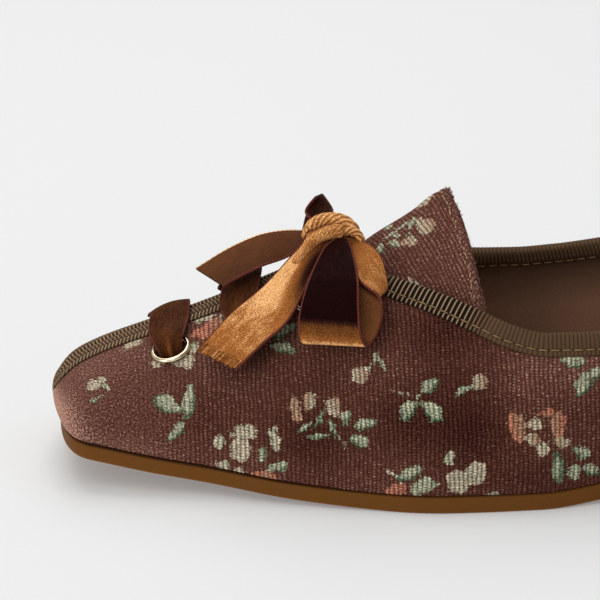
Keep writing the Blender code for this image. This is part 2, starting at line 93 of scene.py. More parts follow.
def photo_ray(pixel):
    """The way that light came to a pixel of the photograph."""
    across = (pixel[0] - IMAGE_SIDE / 2) / FOCAL_PIXELS
    up = (IMAGE_SIDE / 2 - pixel[1]) / FOCAL_PIXELS
    return (CAMERA_RIGHT * across + CAMERA_UP * up - CAMERA_BACK).normalized()

# %% [markdown]
# ## Floor and light
# The photograph was taken on white card under wide soft light: hardly any cast shadow, only a soft one
# where the shoe nears the floor. An even sky does most of the work, and four softboxes do the rest: a key
# at the front left that models the folds of the bow, one overhead that draws the shadow under the sole,
# one far back for the card behind the shoe, and a low one on the left that grazes the nap of the toe. The
# card glows a little, as a light table does, which keeps that shadow pale.

# %% Floor and light
FLOOR_SIDE = 8.0
CARD_COLOUR = (0.605, 0.611, 0.608)
CARD_GLOW = 0.20
SKY_STRENGTH = 0.42
WHITE = (1.0, 1.0, 1.0, 1)
Softbox = namedtuple("Softbox", "name place aim side watts")
SOFTBOXES = (
    Softbox("key", (-0.45, -0.70, 1.00), (-0.06, 0.0, 0.03), 1.00, 4.6),
    Softbox("top", (-0.20, 0.38, 1.15), (-0.02, 0.0, 0.03), 0.70, 5.0),
    Softbox("back", (0.00, 1.50, 1.30), (0.0, 0.75, 0.0), 1.00, 8.0),
    Softbox("left", (-0.90, -0.66, 0.24), (-0.10, 0.0, 0.0), 0.46, 2.5),
)


def plain_material(name, colour, roughness, specular=0.5):
    made = bpy.data.materials.new(name)
    made.use_nodes = True
    shader = made.node_tree.nodes["Principled BSDF"]
    shader.inputs["Base Color"].default_value = (*colour, 1)
    shader.inputs["Roughness"].default_value = roughness
    shader.inputs["Specular IOR Level"].default_value = specular
    return made, shader


def softbox(box):
    data = bpy.data.lights.new(box.name, "AREA")
    data.size = box.side
    data.energy = box.watts
    made = bpy.data.objects.new(box.name, data)
    made.location = box.place
    made.rotation_euler = (Vector(box.aim) - Vector(box.place)).to_track_quat("-Z", "Y").to_euler()
    SCENE.collection.objects.link(made)


sky = bpy.data.worlds.new("studio")
sky.use_nodes = True
sky.node_tree.nodes["Background"].inputs["Color"].default_value = WHITE
sky.node_tree.nodes["Background"].inputs["Strength"].default_value = SKY_STRENGTH
SCENE.world = sky
for box in SOFTBOXES:
    softbox(box)
floor_mesh = bpy.data.meshes.new("floor")
corner_signs = ((-1, -1), (1, -1), (1, 1), (-1, 1))
floor_corners = [(x * FLOOR_SIDE / 2, y * FLOOR_SIDE / 2, 0) for x, y in corner_signs]
floor_mesh.from_pydata(floor_corners, [], [(0, 1, 2, 3)])
floor = bpy.data.objects.new("floor", floor_mesh)
card, card_shader = plain_material("white card", CARD_COLOUR, 0.9)
card_shader.inputs["Emission Color"].default_value = WHITE
card_shader.inputs["Emission Strength"].default_value = CARD_GLOW
floor_mesh.materials.append(card)
SCENE.collection.objects.link(floor)
print("lights:", [box.name for box in SOFTBOXES])

# %% [markdown]
# ## The last
# Every shoe is shaped on a last. Its sections are rounded arches that widen to the ball, rise to the
# instep and narrow at the heel, and the outline is a rounded square at the toe. The same short tables
# drove the solids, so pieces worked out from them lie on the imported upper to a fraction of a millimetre.
# Lengths are millimetres: "along" runs from toe to heel, and a side is LATERAL (-1) or MEDIAL (+1).

# %% Sizes of the last
LATERAL = -1
MEDIAL = 1
SIDES = {"lateral": LATERAL, "medial": MEDIAL}
LENGTH = 248.0
BALL_WIDTH = 82.0
INSTEP_HEIGHT = 51.5
HEEL_HEIGHT = 10.0
TOE_SPRING = 9.0
SOLE_THICKNESS = 4.2
SOLE_RIM = 0.8
WALL = 1.6
TOE_ROUND = 9.5
TOE_SQUARENESS = 2.6
HEEL_ROUND = 30.0
HEEL_SQUARENESS = 2.3
TUCK = 1.4
TUCK_HEIGHT = 10.0
HEEL_LEAN = 3.0
HEEL_LEAN_FROM = 18.0
HEEL_LEAN_RUN = 30.0
SLIT_START = 1.2
SLIT_TAPER = 2.6
SLIT_HALF = 1.05
THROAT = 66.0

Section = namedtuple("Section", "along axis lateral medial ridge peak")
SECTIONS = (
    Section(0, 0.055, 0.293, 0.268, 0.355, 2.00),
    Section(6, 0.051, 0.317, 0.288, 0.474, 1.90),
    Section(12, 0.049, 0.333, 0.302, 0.538, 1.80),
    Section(23, 0.044, 0.365, 0.330, 0.623, 1.65),
    Section(35, 0.039, 0.391, 0.362, 0.707, 1.60),
    Section(53, 0.030, 0.457, 0.415, 0.852, 1.55),
    Section(70, 0.024, 0.505, 0.450, 1.000, 1.50),
    Section(90, 0.018, 0.545, 0.460, 1.165, 1.50),
    Section(112, 0.012, 0.530, 0.427, 1.359, 1.50),
    Section(140, 0.006, 0.445, 0.366, 1.592, 1.55),
    Section(170, 0.000, 0.384, 0.341, 1.864, 1.65),
    Section(205, 0.000, 0.366, 0.360, 2.136, 1.80),
    Section(248, 0.000, 0.348, 0.348, 2.233, 1.90),
)
Tread = namedtuple("Tread", "along height")
TREAD = (
    Tread(0, TOE_SPRING),
    Tread(10, 0.80 * TOE_SPRING),
    Tread(20, 0.63 * TOE_SPRING),
    Tread(40, 0.34 * TOE_SPRING),
    Tread(60, 0.12 * TOE_SPRING),
    Tread(82, 0.0),
    Tread(112, 0.0),
    Tread(125, 0.09 * HEEL_HEIGHT),
    Tread(145, 0.32 * HEEL_HEIGHT),
    Tread(170, 0.68 * HEEL_HEIGHT),
    Tread(195, 0.95 * HEEL_HEIGHT),
    Tread(212, HEEL_HEIGHT),
    Tread(248, HEEL_HEIGHT),
)
Topline = namedtuple("Topline", "along lateral medial")
TOPLINE = (
    Topline(66, 49.6, 49.6),
    Topline(72, 49.0, 49.2),
    Topline(80, 47.9, 48.2),
    Topline(90, 45.8, 46.0),
    Topline(98, 43.3, 44.0),
    Topline(106, 40.2, 43.1),
    Topline(114, 38.6, 43.0),
    Topline(124, 38.6, 43.8),
    Topline(136, 39.8, 45.6),
    Topline(155, 42.8, 48.8),
    Topline(180, 48.0, 53.0),
    Topline(210, 55.0, 58.0),
    Topline(248, 62.0, 62.0),
)
print("last:", LENGTH, "long,", BALL_WIDTH, "wide at the ball")

# %% Reading the tables
def smooth(table, column, along):
    """A column of a table read at any place along the shoe, by a curve that never overshoots its rows."""
    places = np.array([row.along for row in table], float)
    values = np.array([getattr(row, column) for row in table], float)
    steps = np.diff(places)
    slopes = np.diff(values) / steps
    tangents = np.zeros_like(values)
    tangents[0] = slopes[0]
    tangents[-1] = slopes[-1]
    for i in range(1, len(values) - 1):
        if slopes[i - 1] * slopes[i] > 0:
            before = 2 * steps[i] + steps[i - 1]
            after = steps[i] + 2 * steps[i - 1]
            tangents[i] = (before + after) / (before / slopes[i - 1] + after / slopes[i])
    along = np.clip(np.asarray(along, float), places[0], places[-1])
    i = np.clip(np.searchsorted(places, along, side="right") - 1, 0, len(steps) - 1)
    t = (along - places[i]) / steps[i]
    start = (2 * t**3 - 3 * t**2 + 1) * values[i] + (t**3 - 2 * t**2 + t) * steps[i] * tangents[i]
    end = (3 * t**2 - 2 * t**3) * values[i + 1] + (t**3 - t**2) * steps[i] * tangents[i + 1]
    return start + end


def unit(vectors):
    return vectors / np.maximum(np.linalg.norm(vectors, axis=-1, keepdims=True), 1e-9)


def ease_toe(along):
    return np.clip(1 - np.asarray(along, float) / TOE_ROUND, 0, 1)


def ease_heel(along):
    return np.clip(1 - (LENGTH - np.asarray(along, float)) / HEEL_ROUND, 0, 1)


def half_width(along, side):
    share = smooth(SECTIONS, "lateral" if side == LATERAL else "medial", along)
    toe = (1 - ease_toe(along) ** TOE_SQUARENESS) ** (1 / TOE_SQUARENESS)
    heel = (1 - ease_heel(along) ** HEEL_SQUARENESS) ** (1 / HEEL_SQUARENESS)
    return share * BALL_WIDTH * toe * heel


def axis(along):
    return smooth(SECTIONS, "axis", along) * BALL_WIDTH


def ridge(along):
    return smooth(SECTIONS, "ridge", along) * INSTEP_HEIGHT


def tread(along):
    return smooth(TREAD, "height", along)


def feather(along):
    """Height of the line where the upper meets the sole."""
    return tread(along) + SOLE_THICKNESS


print("feather line at the toe and at the heel, mm:", float(feather(0)), float(feather(LENGTH)))

# %% Points and normals on the last
def last_point(along, side, angle):
    """A point of the last's surface: angle 0 is at the feather line and 90 degrees at the ridge."""
    along, angle = np.broadcast_arrays(np.asarray(along, float), np.asarray(angle, float))
    power = 2 / smooth(SECTIONS, "peak", along)
    base = feather(along)
    rise = (ridge(along) - base) * np.sin(angle) ** power
    half = half_width(along, side)
    low = np.clip(1 - rise / TUCK_HEIGHT, 0, 1) ** 2
    reach = half * np.clip(np.cos(angle), 0, 1) ** power
    reach = np.maximum(reach - TUCK * low * np.minimum(1, half / 8), 0)
    lean = HEEL_LEAN * (np.clip(rise - HEEL_LEAN_FROM, 0, None) / HEEL_LEAN_RUN) ** 2
    x = along + TUCK * low * ease_toe(along) ** 2 - (TUCK * low + lean) * ease_heel(along) ** 2
    return np.stack([x, axis(along) + side * reach, base + rise], axis=-1)


def offset_angle(along, side, offset):
    """The angle at which the surface is the given distance across from the last's axis."""
    share = np.clip(offset / np.maximum(half_width(along, side), 1e-6), 0, 1)
    return np.arccos(share ** (smooth(SECTIONS, "peak", along) / 2))


def edge_angle(along, side):
    """The angle of the upper's bound edge: the slit down the vamp, then the topline."""
    along = np.asarray(along, float)
    slit = SLIT_HALF * np.clip((along - SLIT_START) / SLIT_TAPER, 0, 1)
    height = smooth(TOPLINE, "lateral" if side == LATERAL else "medial", along)
    share = np.clip((height - feather(along)) / (ridge(along) - feather(along)), 0, 1)
    collar = np.arcsin(share ** (smooth(SECTIONS, "peak", along) / 2))
    return np.where(along < THROAT, offset_angle(along, side, slit), collar)


def surface_normal(along, side, angle):
    """The outward normal of the last, from short steps on its surface."""
    step = 0.05
    ahead = last_point(np.minimum(along + step, LENGTH), side, angle)
    behind = last_point(np.maximum(along - step, 0), side, angle)
    above = last_point(along, side, np.minimum(angle + 0.01, math.pi / 2))
    below = last_point(along, side, np.maximum(angle - 0.01, 0))
    return unit(np.cross(ahead - behind, above - below) * -side)


def smooth_path(rows, steps):
    """Rows of numbers run through by one smooth curve, with the given steps between two rows."""
    rows = np.asarray(rows, float)
    padded = np.concatenate([[2 * rows[0] - rows[1]], rows, [2 * rows[-1] - rows[-2]]])
    path = []
    for i in range(1, len(padded) - 2):
        a, b, c, d = padded[i - 1 : i + 3]
        for t in np.arange(steps) / steps:
            bend = (2 * a - 5 * b + 4 * c - d) * t**2 + (3 * b - a - 3 * c + d) * t**3
            path.append(0.5 * (2 * b + (c - a) * t + bend))
    path.append(rows[-1])
    return np.array(path)


print("toe of the last, mm:", np.round(last_point(0.0, LATERAL, math.pi / 2), 1))

# %% [markdown]
# ## From the last to the frame
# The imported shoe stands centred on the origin. The upper's box says how far the last is shifted along,
# and the sole's box how far across, so nothing here repeats a placement by hand.

# %% Shift from the last to the frame
TOE_SET_BACK = 1.2


def sole_plan(along, inset):
    """The sole's outline at a station: its place along the shoe and its two edges across."""
    rim = SOLE_RIM - inset
    x = along + (TUCK - rim) * (ease_toe(along) ** 2 - ease_heel(along) ** 2)
    x = x + TOE_SET_BACK * ease_toe(along) ** 2
    grow = rim - TUCK
    left = axis(along) - half_width(along, LATERAL) - grow
    right = axis(along) + half_width(along, MEDIAL) + grow
    return x, left, right


sole_low, sole_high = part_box("outsole")
sole_left, sole_right = sole_plan(np.linspace(0.25, LENGTH - 0.25, 2000), 0)[1:]
SHIFT = np.array([
    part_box("upper")[0].x - float(last_point(0.0, LATERAL, math.pi / 2)[0]) * MM,
    (sole_low.y + sole_high.y) / 2 - (sole_left.min() + sole_right.max()) / 2 * MM,
    0.0,
])
print("shift of the last in the frame, mm:", np.round(SHIFT / MM, 2))


def to_frame(points):
    return np.asarray(points, float) * MM + SHIFT

# %% Mesh helpers
def add_piece(name, build, materials):
    mesh = build.mesh(name)
    for made in materials:
        mesh.materials.append(made)
    piece = bpy.data.objects.new(name, mesh)
    SCENE.collection.objects.link(piece)
    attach(piece, BODY)
    return piece


def store(mesh, name, values):
    """Numbers for each vertex that a material can read: a float, or a place on the cloth in millimetres."""
    values = np.asarray(values, np.float32)
    kind, field = ("FLOAT_VECTOR", "vector") if values.ndim == 2 else ("FLOAT", "value")
    layer = mesh.attributes.new(name, kind, "POINT")
    layer.data.foreach_set(field, values.ravel())


def grid_quads(index):
    """The four corners of every cell of a grid of vertex numbers."""
    return np.stack([index[:-1, :-1], index[:-1, 1:], index[1:, 1:], index[1:, :-1]], axis=-1)


class Builder:
    """Gathers grids of points, each with its own numbers, into one smooth mesh."""

    def __init__(self):
        self.points = []
        self.faces = []
        self.slots = []
        self.layers = {}
        self.count = 0

    def grid(self, points, slot=0, wrap=False, keep=None, **layers):
        rows, columns = points.shape[:2]
        index = self.count + np.arange(rows * columns).reshape(rows, columns)
        if wrap:
            index = np.concatenate([index, index[:, :1]], axis=1)
        quads = grid_quads(index)
        self.join(quads.reshape(-1, 4) if keep is None else quads[keep], slot)
        self.points.append(points.reshape(-1, 3))
        for name, values in layers.items():
            self.layers.setdefault(name, []).append(np.reshape(values, (rows * columns, -1)))
        self.count += rows * columns

    def join(self, quads, slot=0):
        """Faces between points that are there already."""
        self.faces.append(quads)
        self.slots.append(np.full(len(quads), slot))

    def mesh(self, name):
        made = bpy.data.meshes.new(name)
        places = to_frame(np.concatenate(self.points))
        made.from_pydata(places.tolist(), [], np.concatenate(self.faces).tolist())
        made.polygons.foreach_set("material_index", np.concatenate(self.slots).astype(np.int32))
        made.polygons.foreach_set("use_smooth", np.ones(len(made.polygons), bool))
        for layer, parts in self.layers.items():
            values = np.concatenate(parts)
            store(made, layer, values if values.shape[1] == 3 else values[:, 0])
        made.update()
        return made


def triangles(piece):
    return sum(len(face.vertices) - 2 for face in piece.data.polygons)

# %% [markdown]
# ## Shader helpers and shared effects
# Three effects turn up on several finishes, so each is a node group: *pile*, short nap that stands in
# lanes of tufts or lies as a fine grain; *weave*, the over and under of threads in tape, ribbon and
# stitches; and *mottle*, the change of tone that keeps a surface from looking like paint. They read
# "chart", a place on the cloth in millimetres that each mesh carries, so they lie on the piece from every
# side.

# %% Node helpers
def put(tree, socket, value):
    if isinstance(value, bpy.types.NodeSocket):
        tree.links.new(value, socket)
    else:
        socket.default_value = value


def maths(tree, operation, first, second=0.0, third=None, clamp=False):
    node = tree.nodes.new("ShaderNodeMath")
    node.operation = operation
    node.use_clamp = clamp
    put(tree, node.inputs[0], first)
    put(tree, node.inputs[1], second)
    if third is not None:
        put(tree, node.inputs[2], third)
    return node.outputs[0]


def product(tree, first, *others):
    for other in others:
        first = maths(tree, "MULTIPLY", first, other)
    return first


def plus(tree, first, second, clamp=False):
    return maths(tree, "ADD", first, second, clamp=clamp)


def scaled(tree, value, gain, offset, clamp=False):
    return maths(tree, "MULTIPLY_ADD", value, gain, offset, clamp)


def blend_colour(tree, factor, first, second):
    node = tree.nodes.new("ShaderNodeMix")
    node.data_type = "RGBA"
    put(tree, node.inputs[0], factor)
    for socket, colour in zip(node.inputs[6:8], (first, second)):
        put(tree, socket, colour if isinstance(colour, bpy.types.NodeSocket) else (*colour, 1))
    return node.outputs[2]


def shade_colour(tree, colour, shade):
    """A colour made lighter or darker by a value about 1."""
    node = tree.nodes.new("ShaderNodeVectorMath")
    node.operation = "SCALE"
    put(tree, node.inputs[0], colour)
    put(tree, node.inputs["Scale"], shade)
    return node.outputs[0]


def ramp(tree, factor, stops):
    node = tree.nodes.new("ShaderNodeValToRGB")
    elements = node.color_ramp.elements
    for place, _ in stops[2:]:
        elements.new(place)
    for element, (place, colour) in zip(elements, stops):
        element.position = place
        element.color = (*colour, 1)
    put(tree, node.inputs[0], factor)
    return node.outputs[0]

# %% Reading the cloth
def read_layer(tree, name, vector=False):
    node = tree.nodes.new("ShaderNodeAttribute")
    node.attribute_name = name
    return node.outputs["Vector"] if vector else node.outputs["Fac"]


def charted_material(name, colour, roughness, specular=0.5):
    """A plain material, its shader and its tree, and the chart that its effects read."""
    made, shader = plain_material(name, colour, roughness, specular)
    return made, shader, made.node_tree, read_layer(made.node_tree, "chart", vector=True)


def noise(tree, vector, scale, detail=2.0, roughness=0.5):
    node = tree.nodes.new("ShaderNodeTexNoise")
    put(tree, node.inputs["Vector"], vector)
    put(tree, node.inputs["Scale"], scale)
    node.inputs["Detail"].default_value = detail
    node.inputs["Roughness"].default_value = roughness
    return node.outputs[0]


def split(tree, vector):
    node = tree.nodes.new("ShaderNodeSeparateXYZ")
    put(tree, node.inputs[0], vector)
    return node.outputs


def stretch(tree, vector, along, across):
    """The chart drawn out, so that a round noise becomes dashes."""
    x, y, z = split(tree, vector)
    node = tree.nodes.new("ShaderNodeCombineXYZ")
    put(tree, node.inputs[0], product(tree, x, along))
    put(tree, node.inputs[1], product(tree, y, across))
    put(tree, node.inputs[2], z)
    return node.outputs[0]

# %% Node groups
def new_group(name, inputs, outputs):
    """A node group that reads the chart and some values, and puts out values."""
    tree = bpy.data.node_groups.new(name, "ShaderNodeTree")
    tree.interface.new_socket("Chart", in_out="INPUT", socket_type="NodeSocketVector")
    for way, words in (("INPUT", inputs), ("OUTPUT", outputs)):
        for word in words:
            tree.interface.new_socket(word, in_out=way, socket_type="NodeSocketFloat")
    entry = tree.nodes.new("NodeGroupInput")
    leave = tree.nodes.new("NodeGroupOutput")
    return tree, entry.outputs, leave.inputs


def use_group(tree, group, **values):
    node = tree.nodes.new("ShaderNodeGroup")
    node.node_tree = group
    for word, value in values.items():
        put(tree, node.inputs[word.replace("_", " ")], value)
    return node.outputs

# %% Pile
def chance(tree, first, second):
    """A number from 0 to 1 for each pair of whole numbers, the same every time."""
    pair = tree.nodes.new("ShaderNodeCombineXYZ")
    put(tree, pair.inputs[0], first)
    put(tree, pair.inputs[1], second)
    node = tree.nodes.new("ShaderNodeTexWhiteNoise")
    node.noise_dimensions = "2D"
    put(tree, node.inputs["Vector"], pair.outputs[0])
    return node.outputs["Value"]


def half_wave(tree, value):
    """0 at every whole number and 1 half way between two."""
    return maths(tree, "SINE", product(tree, maths(tree, "FRACT", value), math.pi))


def make_pile():
    """Nap: tufts in lanes, each tuft of chance brightness, or a fine grain where the lanes have no depth."""
    inputs = ("Lane", "Bead", "Depth", "Grain", "Tips")
    tree, given, leave = new_group("pile", inputs, ("Shade", "Cover", "Fleck"))
    x, y, _ = split(tree, given["Chart"])
    wander = product(tree, noise(tree, given["Chart"], 0.16, 1.0), 1.1)
    column = maths(tree, "DIVIDE", plus(tree, x, wander), given["Lane"])
    lane = maths(tree, "FLOOR", column)
    start = product(tree, chance(tree, lane, 7.0), 9.0)
    step = plus(tree, maths(tree, "DIVIDE", y, given["Bead"]), start)
    tip = maths(tree, "POWER", chance(tree, lane, maths(tree, "FLOOR", step)), 1.2)
    tuft = scaled(tree, half_wave(tree, step), 0.65, 0.35)
    tuft = product(tree, tuft, half_wave(tree, column))
    lit = product(tree, maths(tree, "SUBTRACT", tip, 0.45), product(tree, tuft, given["Tips"]))
    rows = plus(tree, scaled(tree, tuft, 1.2, -0.60), product(tree, lit, 1.1))
    rows = product(tree, rows, given["Depth"])
    fleck = noise(tree, given["Chart"], given["Grain"], 2.0, 0.6)
    loose = product(tree, scaled(tree, given["Depth"], -0.6, 1.6), given["Tips"])
    grain = product(tree, maths(tree, "SUBTRACT", fleck, 0.5), product(tree, loose, 5.2))
    shade = plus(tree, plus(tree, rows, grain), 1.0)
    put(tree, leave["Shade"], maths(tree, "MAXIMUM", shade, 0.12))
    put(tree, leave["Cover"], tuft)
    put(tree, leave["Fleck"], fleck)
    return tree


PILE = make_pile()
print("node group:", PILE.name, [socket.name for socket in PILE.interface.items_tree])

# %% Weave and mottle
def make_weave():
    """Threads crossing: two sets of ridges that take turns to lie on top."""
    inputs = ("Warp Pitch", "Weft Pitch", "Slub")
    tree, given, leave = new_group("weave", inputs, ("Shade", "Height"))
    x, y, _ = split(tree, given["Chart"])
    warp = product(tree, maths(tree, "DIVIDE", x, given["Warp Pitch"]), math.pi)
    weft = product(tree, maths(tree, "DIVIDE", y, given["Weft Pitch"]), math.pi)
    cross = product(tree, maths(tree, "SINE", warp), maths(tree, "SINE", weft))
    slub = maths(tree, "SUBTRACT", noise(tree, stretch(tree, given["Chart"], 0.6, 2.2), 1.0, 3.0, 0.6), 0.5)
    slub = product(tree, slub, given["Slub"])
    put(tree, leave["Height"], plus(tree, cross, slub))
    put(tree, leave["Shade"], plus(tree, scaled(tree, cross, 0.16, 1.0), slub))
    return tree


def make_mottle():
    """A slow drift of tone."""
    tree, given, leave = new_group("mottle", ("Patch Size", "Amount"), ("Shade",))
    drift = noise(tree, given["Chart"], maths(tree, "DIVIDE", 1.0, given["Patch Size"]), 2.0, 0.55)
    drift = product(tree, maths(tree, "SUBTRACT", drift, 0.5), given["Amount"])
    put(tree, leave["Shade"], plus(tree, drift, 1.0))
    return tree


def bump(tree, shader, height, strength, distance):
    node = tree.nodes.new("ShaderNodeBump")
    node.inputs["Strength"].default_value = strength
    node.inputs["Distance"].default_value = distance * MM
    put(tree, node.inputs["Height"], height)
    put(tree, shader.inputs["Normal"], node.outputs[0])


WEAVE = make_weave()
MOTTLE = make_mottle()
print("node groups:", [group.name for group in (WEAVE, MOTTLE)])

# %% [markdown]
# ## Velvet
# The upper is a ribbed, short-napped velvet in brown plum, printed with scattered flowers. Its tufts
# stand in lanes about a millimetre apart. Velvet is dark where one looks down into the pile and pale
# where the pile lies flat, so a number at each vertex picks a tone from a ramp: it darkens soft patches,
# and at the toe it is a painted highlight. The shader's sheen adds the soft bright rim. The print is carried
# by two more numbers: "ink" is how deep a point lies inside a printed shape, and "tone" is which colour
# it is. A threshold on a smooth number keeps an edge crisp between vertices, and the pile breaks that edge
# up as it does on real cloth.

# %% Velvet material
NAP_TONES = (
    (0.00, (0.020, 0.0046, 0.0030)),
    (0.50, (0.094, 0.0330, 0.0222)),
    (0.80, (0.205, 0.0980, 0.0730)),
    (1.00, (0.480, 0.2700, 0.2050)),
)
PRINT_TONES = (
    (0.00, (0.030, 0.078, 0.036)),
    (0.22, (0.360, 0.395, 0.265)),
    (0.45, (0.480, 0.430, 0.305)),
    (0.68, (0.350, 0.210, 0.130)),
    (1.00, (0.450, 0.165, 0.100)),
)
NAP_LIFT = 0.35


def velvet_material(name, patch, lane):
    made, shader, tree, chart = charted_material(name, (0.1, 0.04, 0.03), 0.92, 0.03)
    lanes = read_layer(tree, "lanes")
    pile = use_group(tree, PILE, Chart=chart, Lane=lane, Bead=0.68, Depth=lanes, Grain=2.1, Tips=0.66)
    drift = use_group(tree, MOTTLE, Chart=chart, Patch_Size=patch, Amount=0.55)
    uneven_nap = product(tree, pile["Shade"], drift["Shade"])
    lift = scaled(tree, uneven_nap, NAP_LIFT, -NAP_LIFT)
    # The per-vertex nap number carries a painted highlight at the toe as well as the tone of the pile.
    ground = ramp(tree, plus(tree, read_layer(tree, "nap"), lift), NAP_TONES)
    fringe = scaled(tree, pile["Fleck"], 1.8, -0.9)
    patchy = noise(tree, chart, 0.5)
    wobble = scaled(tree, patchy, 2.8, -1.4)
    ragged = plus(tree, fringe, wobble)
    depth = plus(tree, read_layer(tree, "ink"), product(tree, ragged, 0.85))
    mask = scaled(tree, depth, 4.0, 0.5, clamp=True)
    worn = scaled(tree, patchy, 0.8, 0.45, clamp=True)
    cover = product(tree, scaled(tree, pile["Cover"], 0.4, 0.65), worn)
    tone = plus(tree, read_layer(tree, "tone"), product(tree, ragged, 0.12))
    dye = ramp(tree, tone, PRINT_TONES)
    dye = shade_colour(tree, dye, scaled(tree, pile["Shade"], 0.95, 0.05))
    colour = blend_colour(tree, product(tree, mask, cover), ground, dye)
    put(tree, shader.inputs["Base Color"], colour)
    shader.inputs["Sheen Weight"].default_value = 0.25
    shader.inputs["Sheen Roughness"].default_value = 0.30
    shader.inputs["Sheen Tint"].default_value = (1.0, 0.60, 0.46, 1)
    bump(tree, shader, pile["Shade"], 0.25, 0.12)
    return made


VELVET = velvet_material("printed velvet", 26.0, 1.08)
TONGUE_VELVET = velvet_material("tongue velvet", 12.0, 0.80)
print("velvet tones:", len(NAP_TONES), "print tones:", len(PRINT_TONES))

# %% [markdown]
# ## Ribbon
# The lace is one velvet ribbon. Its plush face reads bronze where the pile lies flat and nearly black
# where one looks into it, its back is a plain brown weave, and a red-brown cord is woven along each
# selvedge. "face" at each vertex says how bright the plush or the weave is there, so three materials
# cover every stretch of it. That brightness is painted light: the sheen of the plush, the highlights of the
# bow and the shade in its folds.

# %% Ribbon materials
# From plush looked into, nearly black, to a painted bronze highlight.
PLUSH_TONES = (
    (0.00, (0.0095, 0.0012, 0.0013)),
    (0.25, (0.0360, 0.0105, 0.0055)),
    (0.55, (0.1550, 0.0510, 0.0125)),
    (0.85, (0.3500, 0.1210, 0.0285)),
    (1.00, (0.8400, 0.4400, 0.1750)),
)


def plush_material():
    made, shader, tree, chart = charted_material("ribbon plush", (0.2, 0.1, 0.05), 0.62, 0.02)
    pile = use_group(tree, PILE, Chart=chart, Lane=0.30, Bead=0.75, Depth=0.10, Grain=2.6, Tips=0.34)
    drift = use_group(tree, MOTTLE, Chart=chart, Patch_Size=3.2, Amount=0.36)
    crushed = noise(tree, stretch(tree, chart, 0.35, 0.9), 0.8, 3.0, 0.6)
    crushed = scaled(tree, crushed, 0.28, -0.14)
    fuzzy = plus(tree, scaled(tree, pile["Fleck"], 0.16, -0.08), crushed)
    face = plus(tree, read_layer(tree, "face"), fuzzy, clamp=True)
    shade = product(tree, pile["Shade"], drift["Shade"])
    put(tree, shader.inputs["Base Color"], shade_colour(tree, ramp(tree, face, PLUSH_TONES), shade))
    shader.inputs["Sheen Weight"].default_value = 0.04
    shader.inputs["Sheen Roughness"].default_value = 0.35
    shader.inputs["Sheen Tint"].default_value = (1.0, 0.45, 0.18, 1)
    bump(tree, shader, pile["Shade"], 0.2, 0.08)
    return made


def woven_material(name, colour, pitch, lit=None):
    """Plain weave in one colour, or shading into a lit one, painted light, where "face" says so."""
    made, shader, tree, chart = charted_material(name, colour, 0.75, 0.08)
    weave = use_group(tree, WEAVE, Chart=chart, Warp_Pitch=pitch, Weft_Pitch=pitch * 1.3, Slub=0.55)
    drift = use_group(tree, MOTTLE, Chart=chart, Patch_Size=5.0, Amount=0.5)
    shade = product(tree, maths(tree, "POWER", weave["Shade"], 1.8), drift["Shade"])
    mixed = blend_colour(tree, read_layer(tree, "face"), colour, lit or colour)
    put(tree, shader.inputs["Base Color"], shade_colour(tree, mixed, shade))
    bump(tree, shader, weave["Height"], 0.5, 0.12)
    return made


PLUSH = plush_material()
# Each has a dark colour and a lit one, painted light, that "face" blends between.
WOVEN_BACK = woven_material("ribbon back", (0.034, 0.0088, 0.0030), 0.42, lit=(0.265, 0.094, 0.029))
SELVEDGE = woven_material("selvedge", (0.125, 0.030, 0.019), 0.50, lit=(0.950, 0.680, 0.400))
print("ribbon faces:", PLUSH.name, WOVEN_BACK.name, SELVEDGE.name)

# %% [markdown]
# ## The bow
# The bow is a free ribbon: on each side of the knot a loop and a tail are one length of it. A ribbon is
# charted by its two selvedges, a row for each place where it turns, and one smooth curve runs through the
# rows. That keeps its width honest where it twists, which a swept profile would not. The cut end of the
# outer tail has frayed, so a row of loose threads lies over it.

# %% Routes of the bow
LOOP_LATERAL = (
    ((67.8, -7.6, 56.3), (69.9, -7.8, 55.6)),
    ((64.3, -10.5, 54.1), (70.6, -12.6, 53.8)),
    ((60.7, -17.0, 49.3), (71.1, -20.8, 50.2)),
    ((58.3, -22.5, 44.5), (70.8, -26.3, 44.8)),
    ((57.4, -25.6, 40.0), (71.0, -29.6, 39.8)),
    ((58.1, -25.3, 36.5), (72.5, -29.3, 36.6)),
    ((61.2, -23.5, 36.8), (74.7, -27.6, 38.4)),
    ((65.6, -19.6, 42.0), (76.1, -26.2, 41.5)),
    ((70.4, -18.0, 48.0), (76.4, -25.8, 44.2)),
    ((77.8, -17.8, 45.8), (75.8, -23.8, 46.7)),
    ((77.9, -14.6, 50.6), (72.2, -19.6, 48.7)),
    ((76.4, -10.4, 53.5), (71.1, -15.4, 51.0)),
    ((73.7, -6.8, 54.7), (70.2, -9.6, 53.2)),
    ((71.5, -5.4, 55.3), (69.8, -6.2, 54.1)),
)
TAIL_LATERAL = (
    ((61.8, -6.2, 57.5), (67.4, -6.0, 57.5)),
    ((59.6, -6.6, 54.7), (64.7, -8.2, 54.3)),
    ((56.3, -6.8, 50.7), (61.7, -11.0, 49.4)),
    ((50.2, -8.3, 44.5), (55.5, -19.6, 40.4)),
    ((42.3, -12.8, 39.3), (49.5, -23.2, 36.0)),
    ((34.5, -18.4, 32.8), (43.0, -25.6, 30.5)),
)
LOOP_MEDIAL = (
    ((62.8, 4.9, 56.7), (66.9, 5.2, 57.8)),
    ((61.4, 8.0, 58.4), (67.6, 8.4, 58.6)),
    ((63.9, 8.6, 61.6), (65.7, 15.0, 60.4)),
    ((62.6, 15.8, 56.0), (67.8, 16.4, 56.0)),
    ((62.2, 22.6, 51.4), (69.2, 23.8, 51.6)),
    ((60.8, 27.4, 41.0), (71.6, 28.8, 41.6)),
    ((61.0, 28.4, 36.4), (72.0, 29.8, 37.0)),
    ((62.0, 25.8, 37.6), (72.0, 27.2, 38.2)),
    ((63.4, 19.6, 47.0), (70.4, 20.6, 47.6)),
    ((65.4, 11.6, 53.0), (69.6, 12.0, 53.4)),
    ((66.4, 6.2, 54.6), (69.0, 6.4, 55.0)),
)
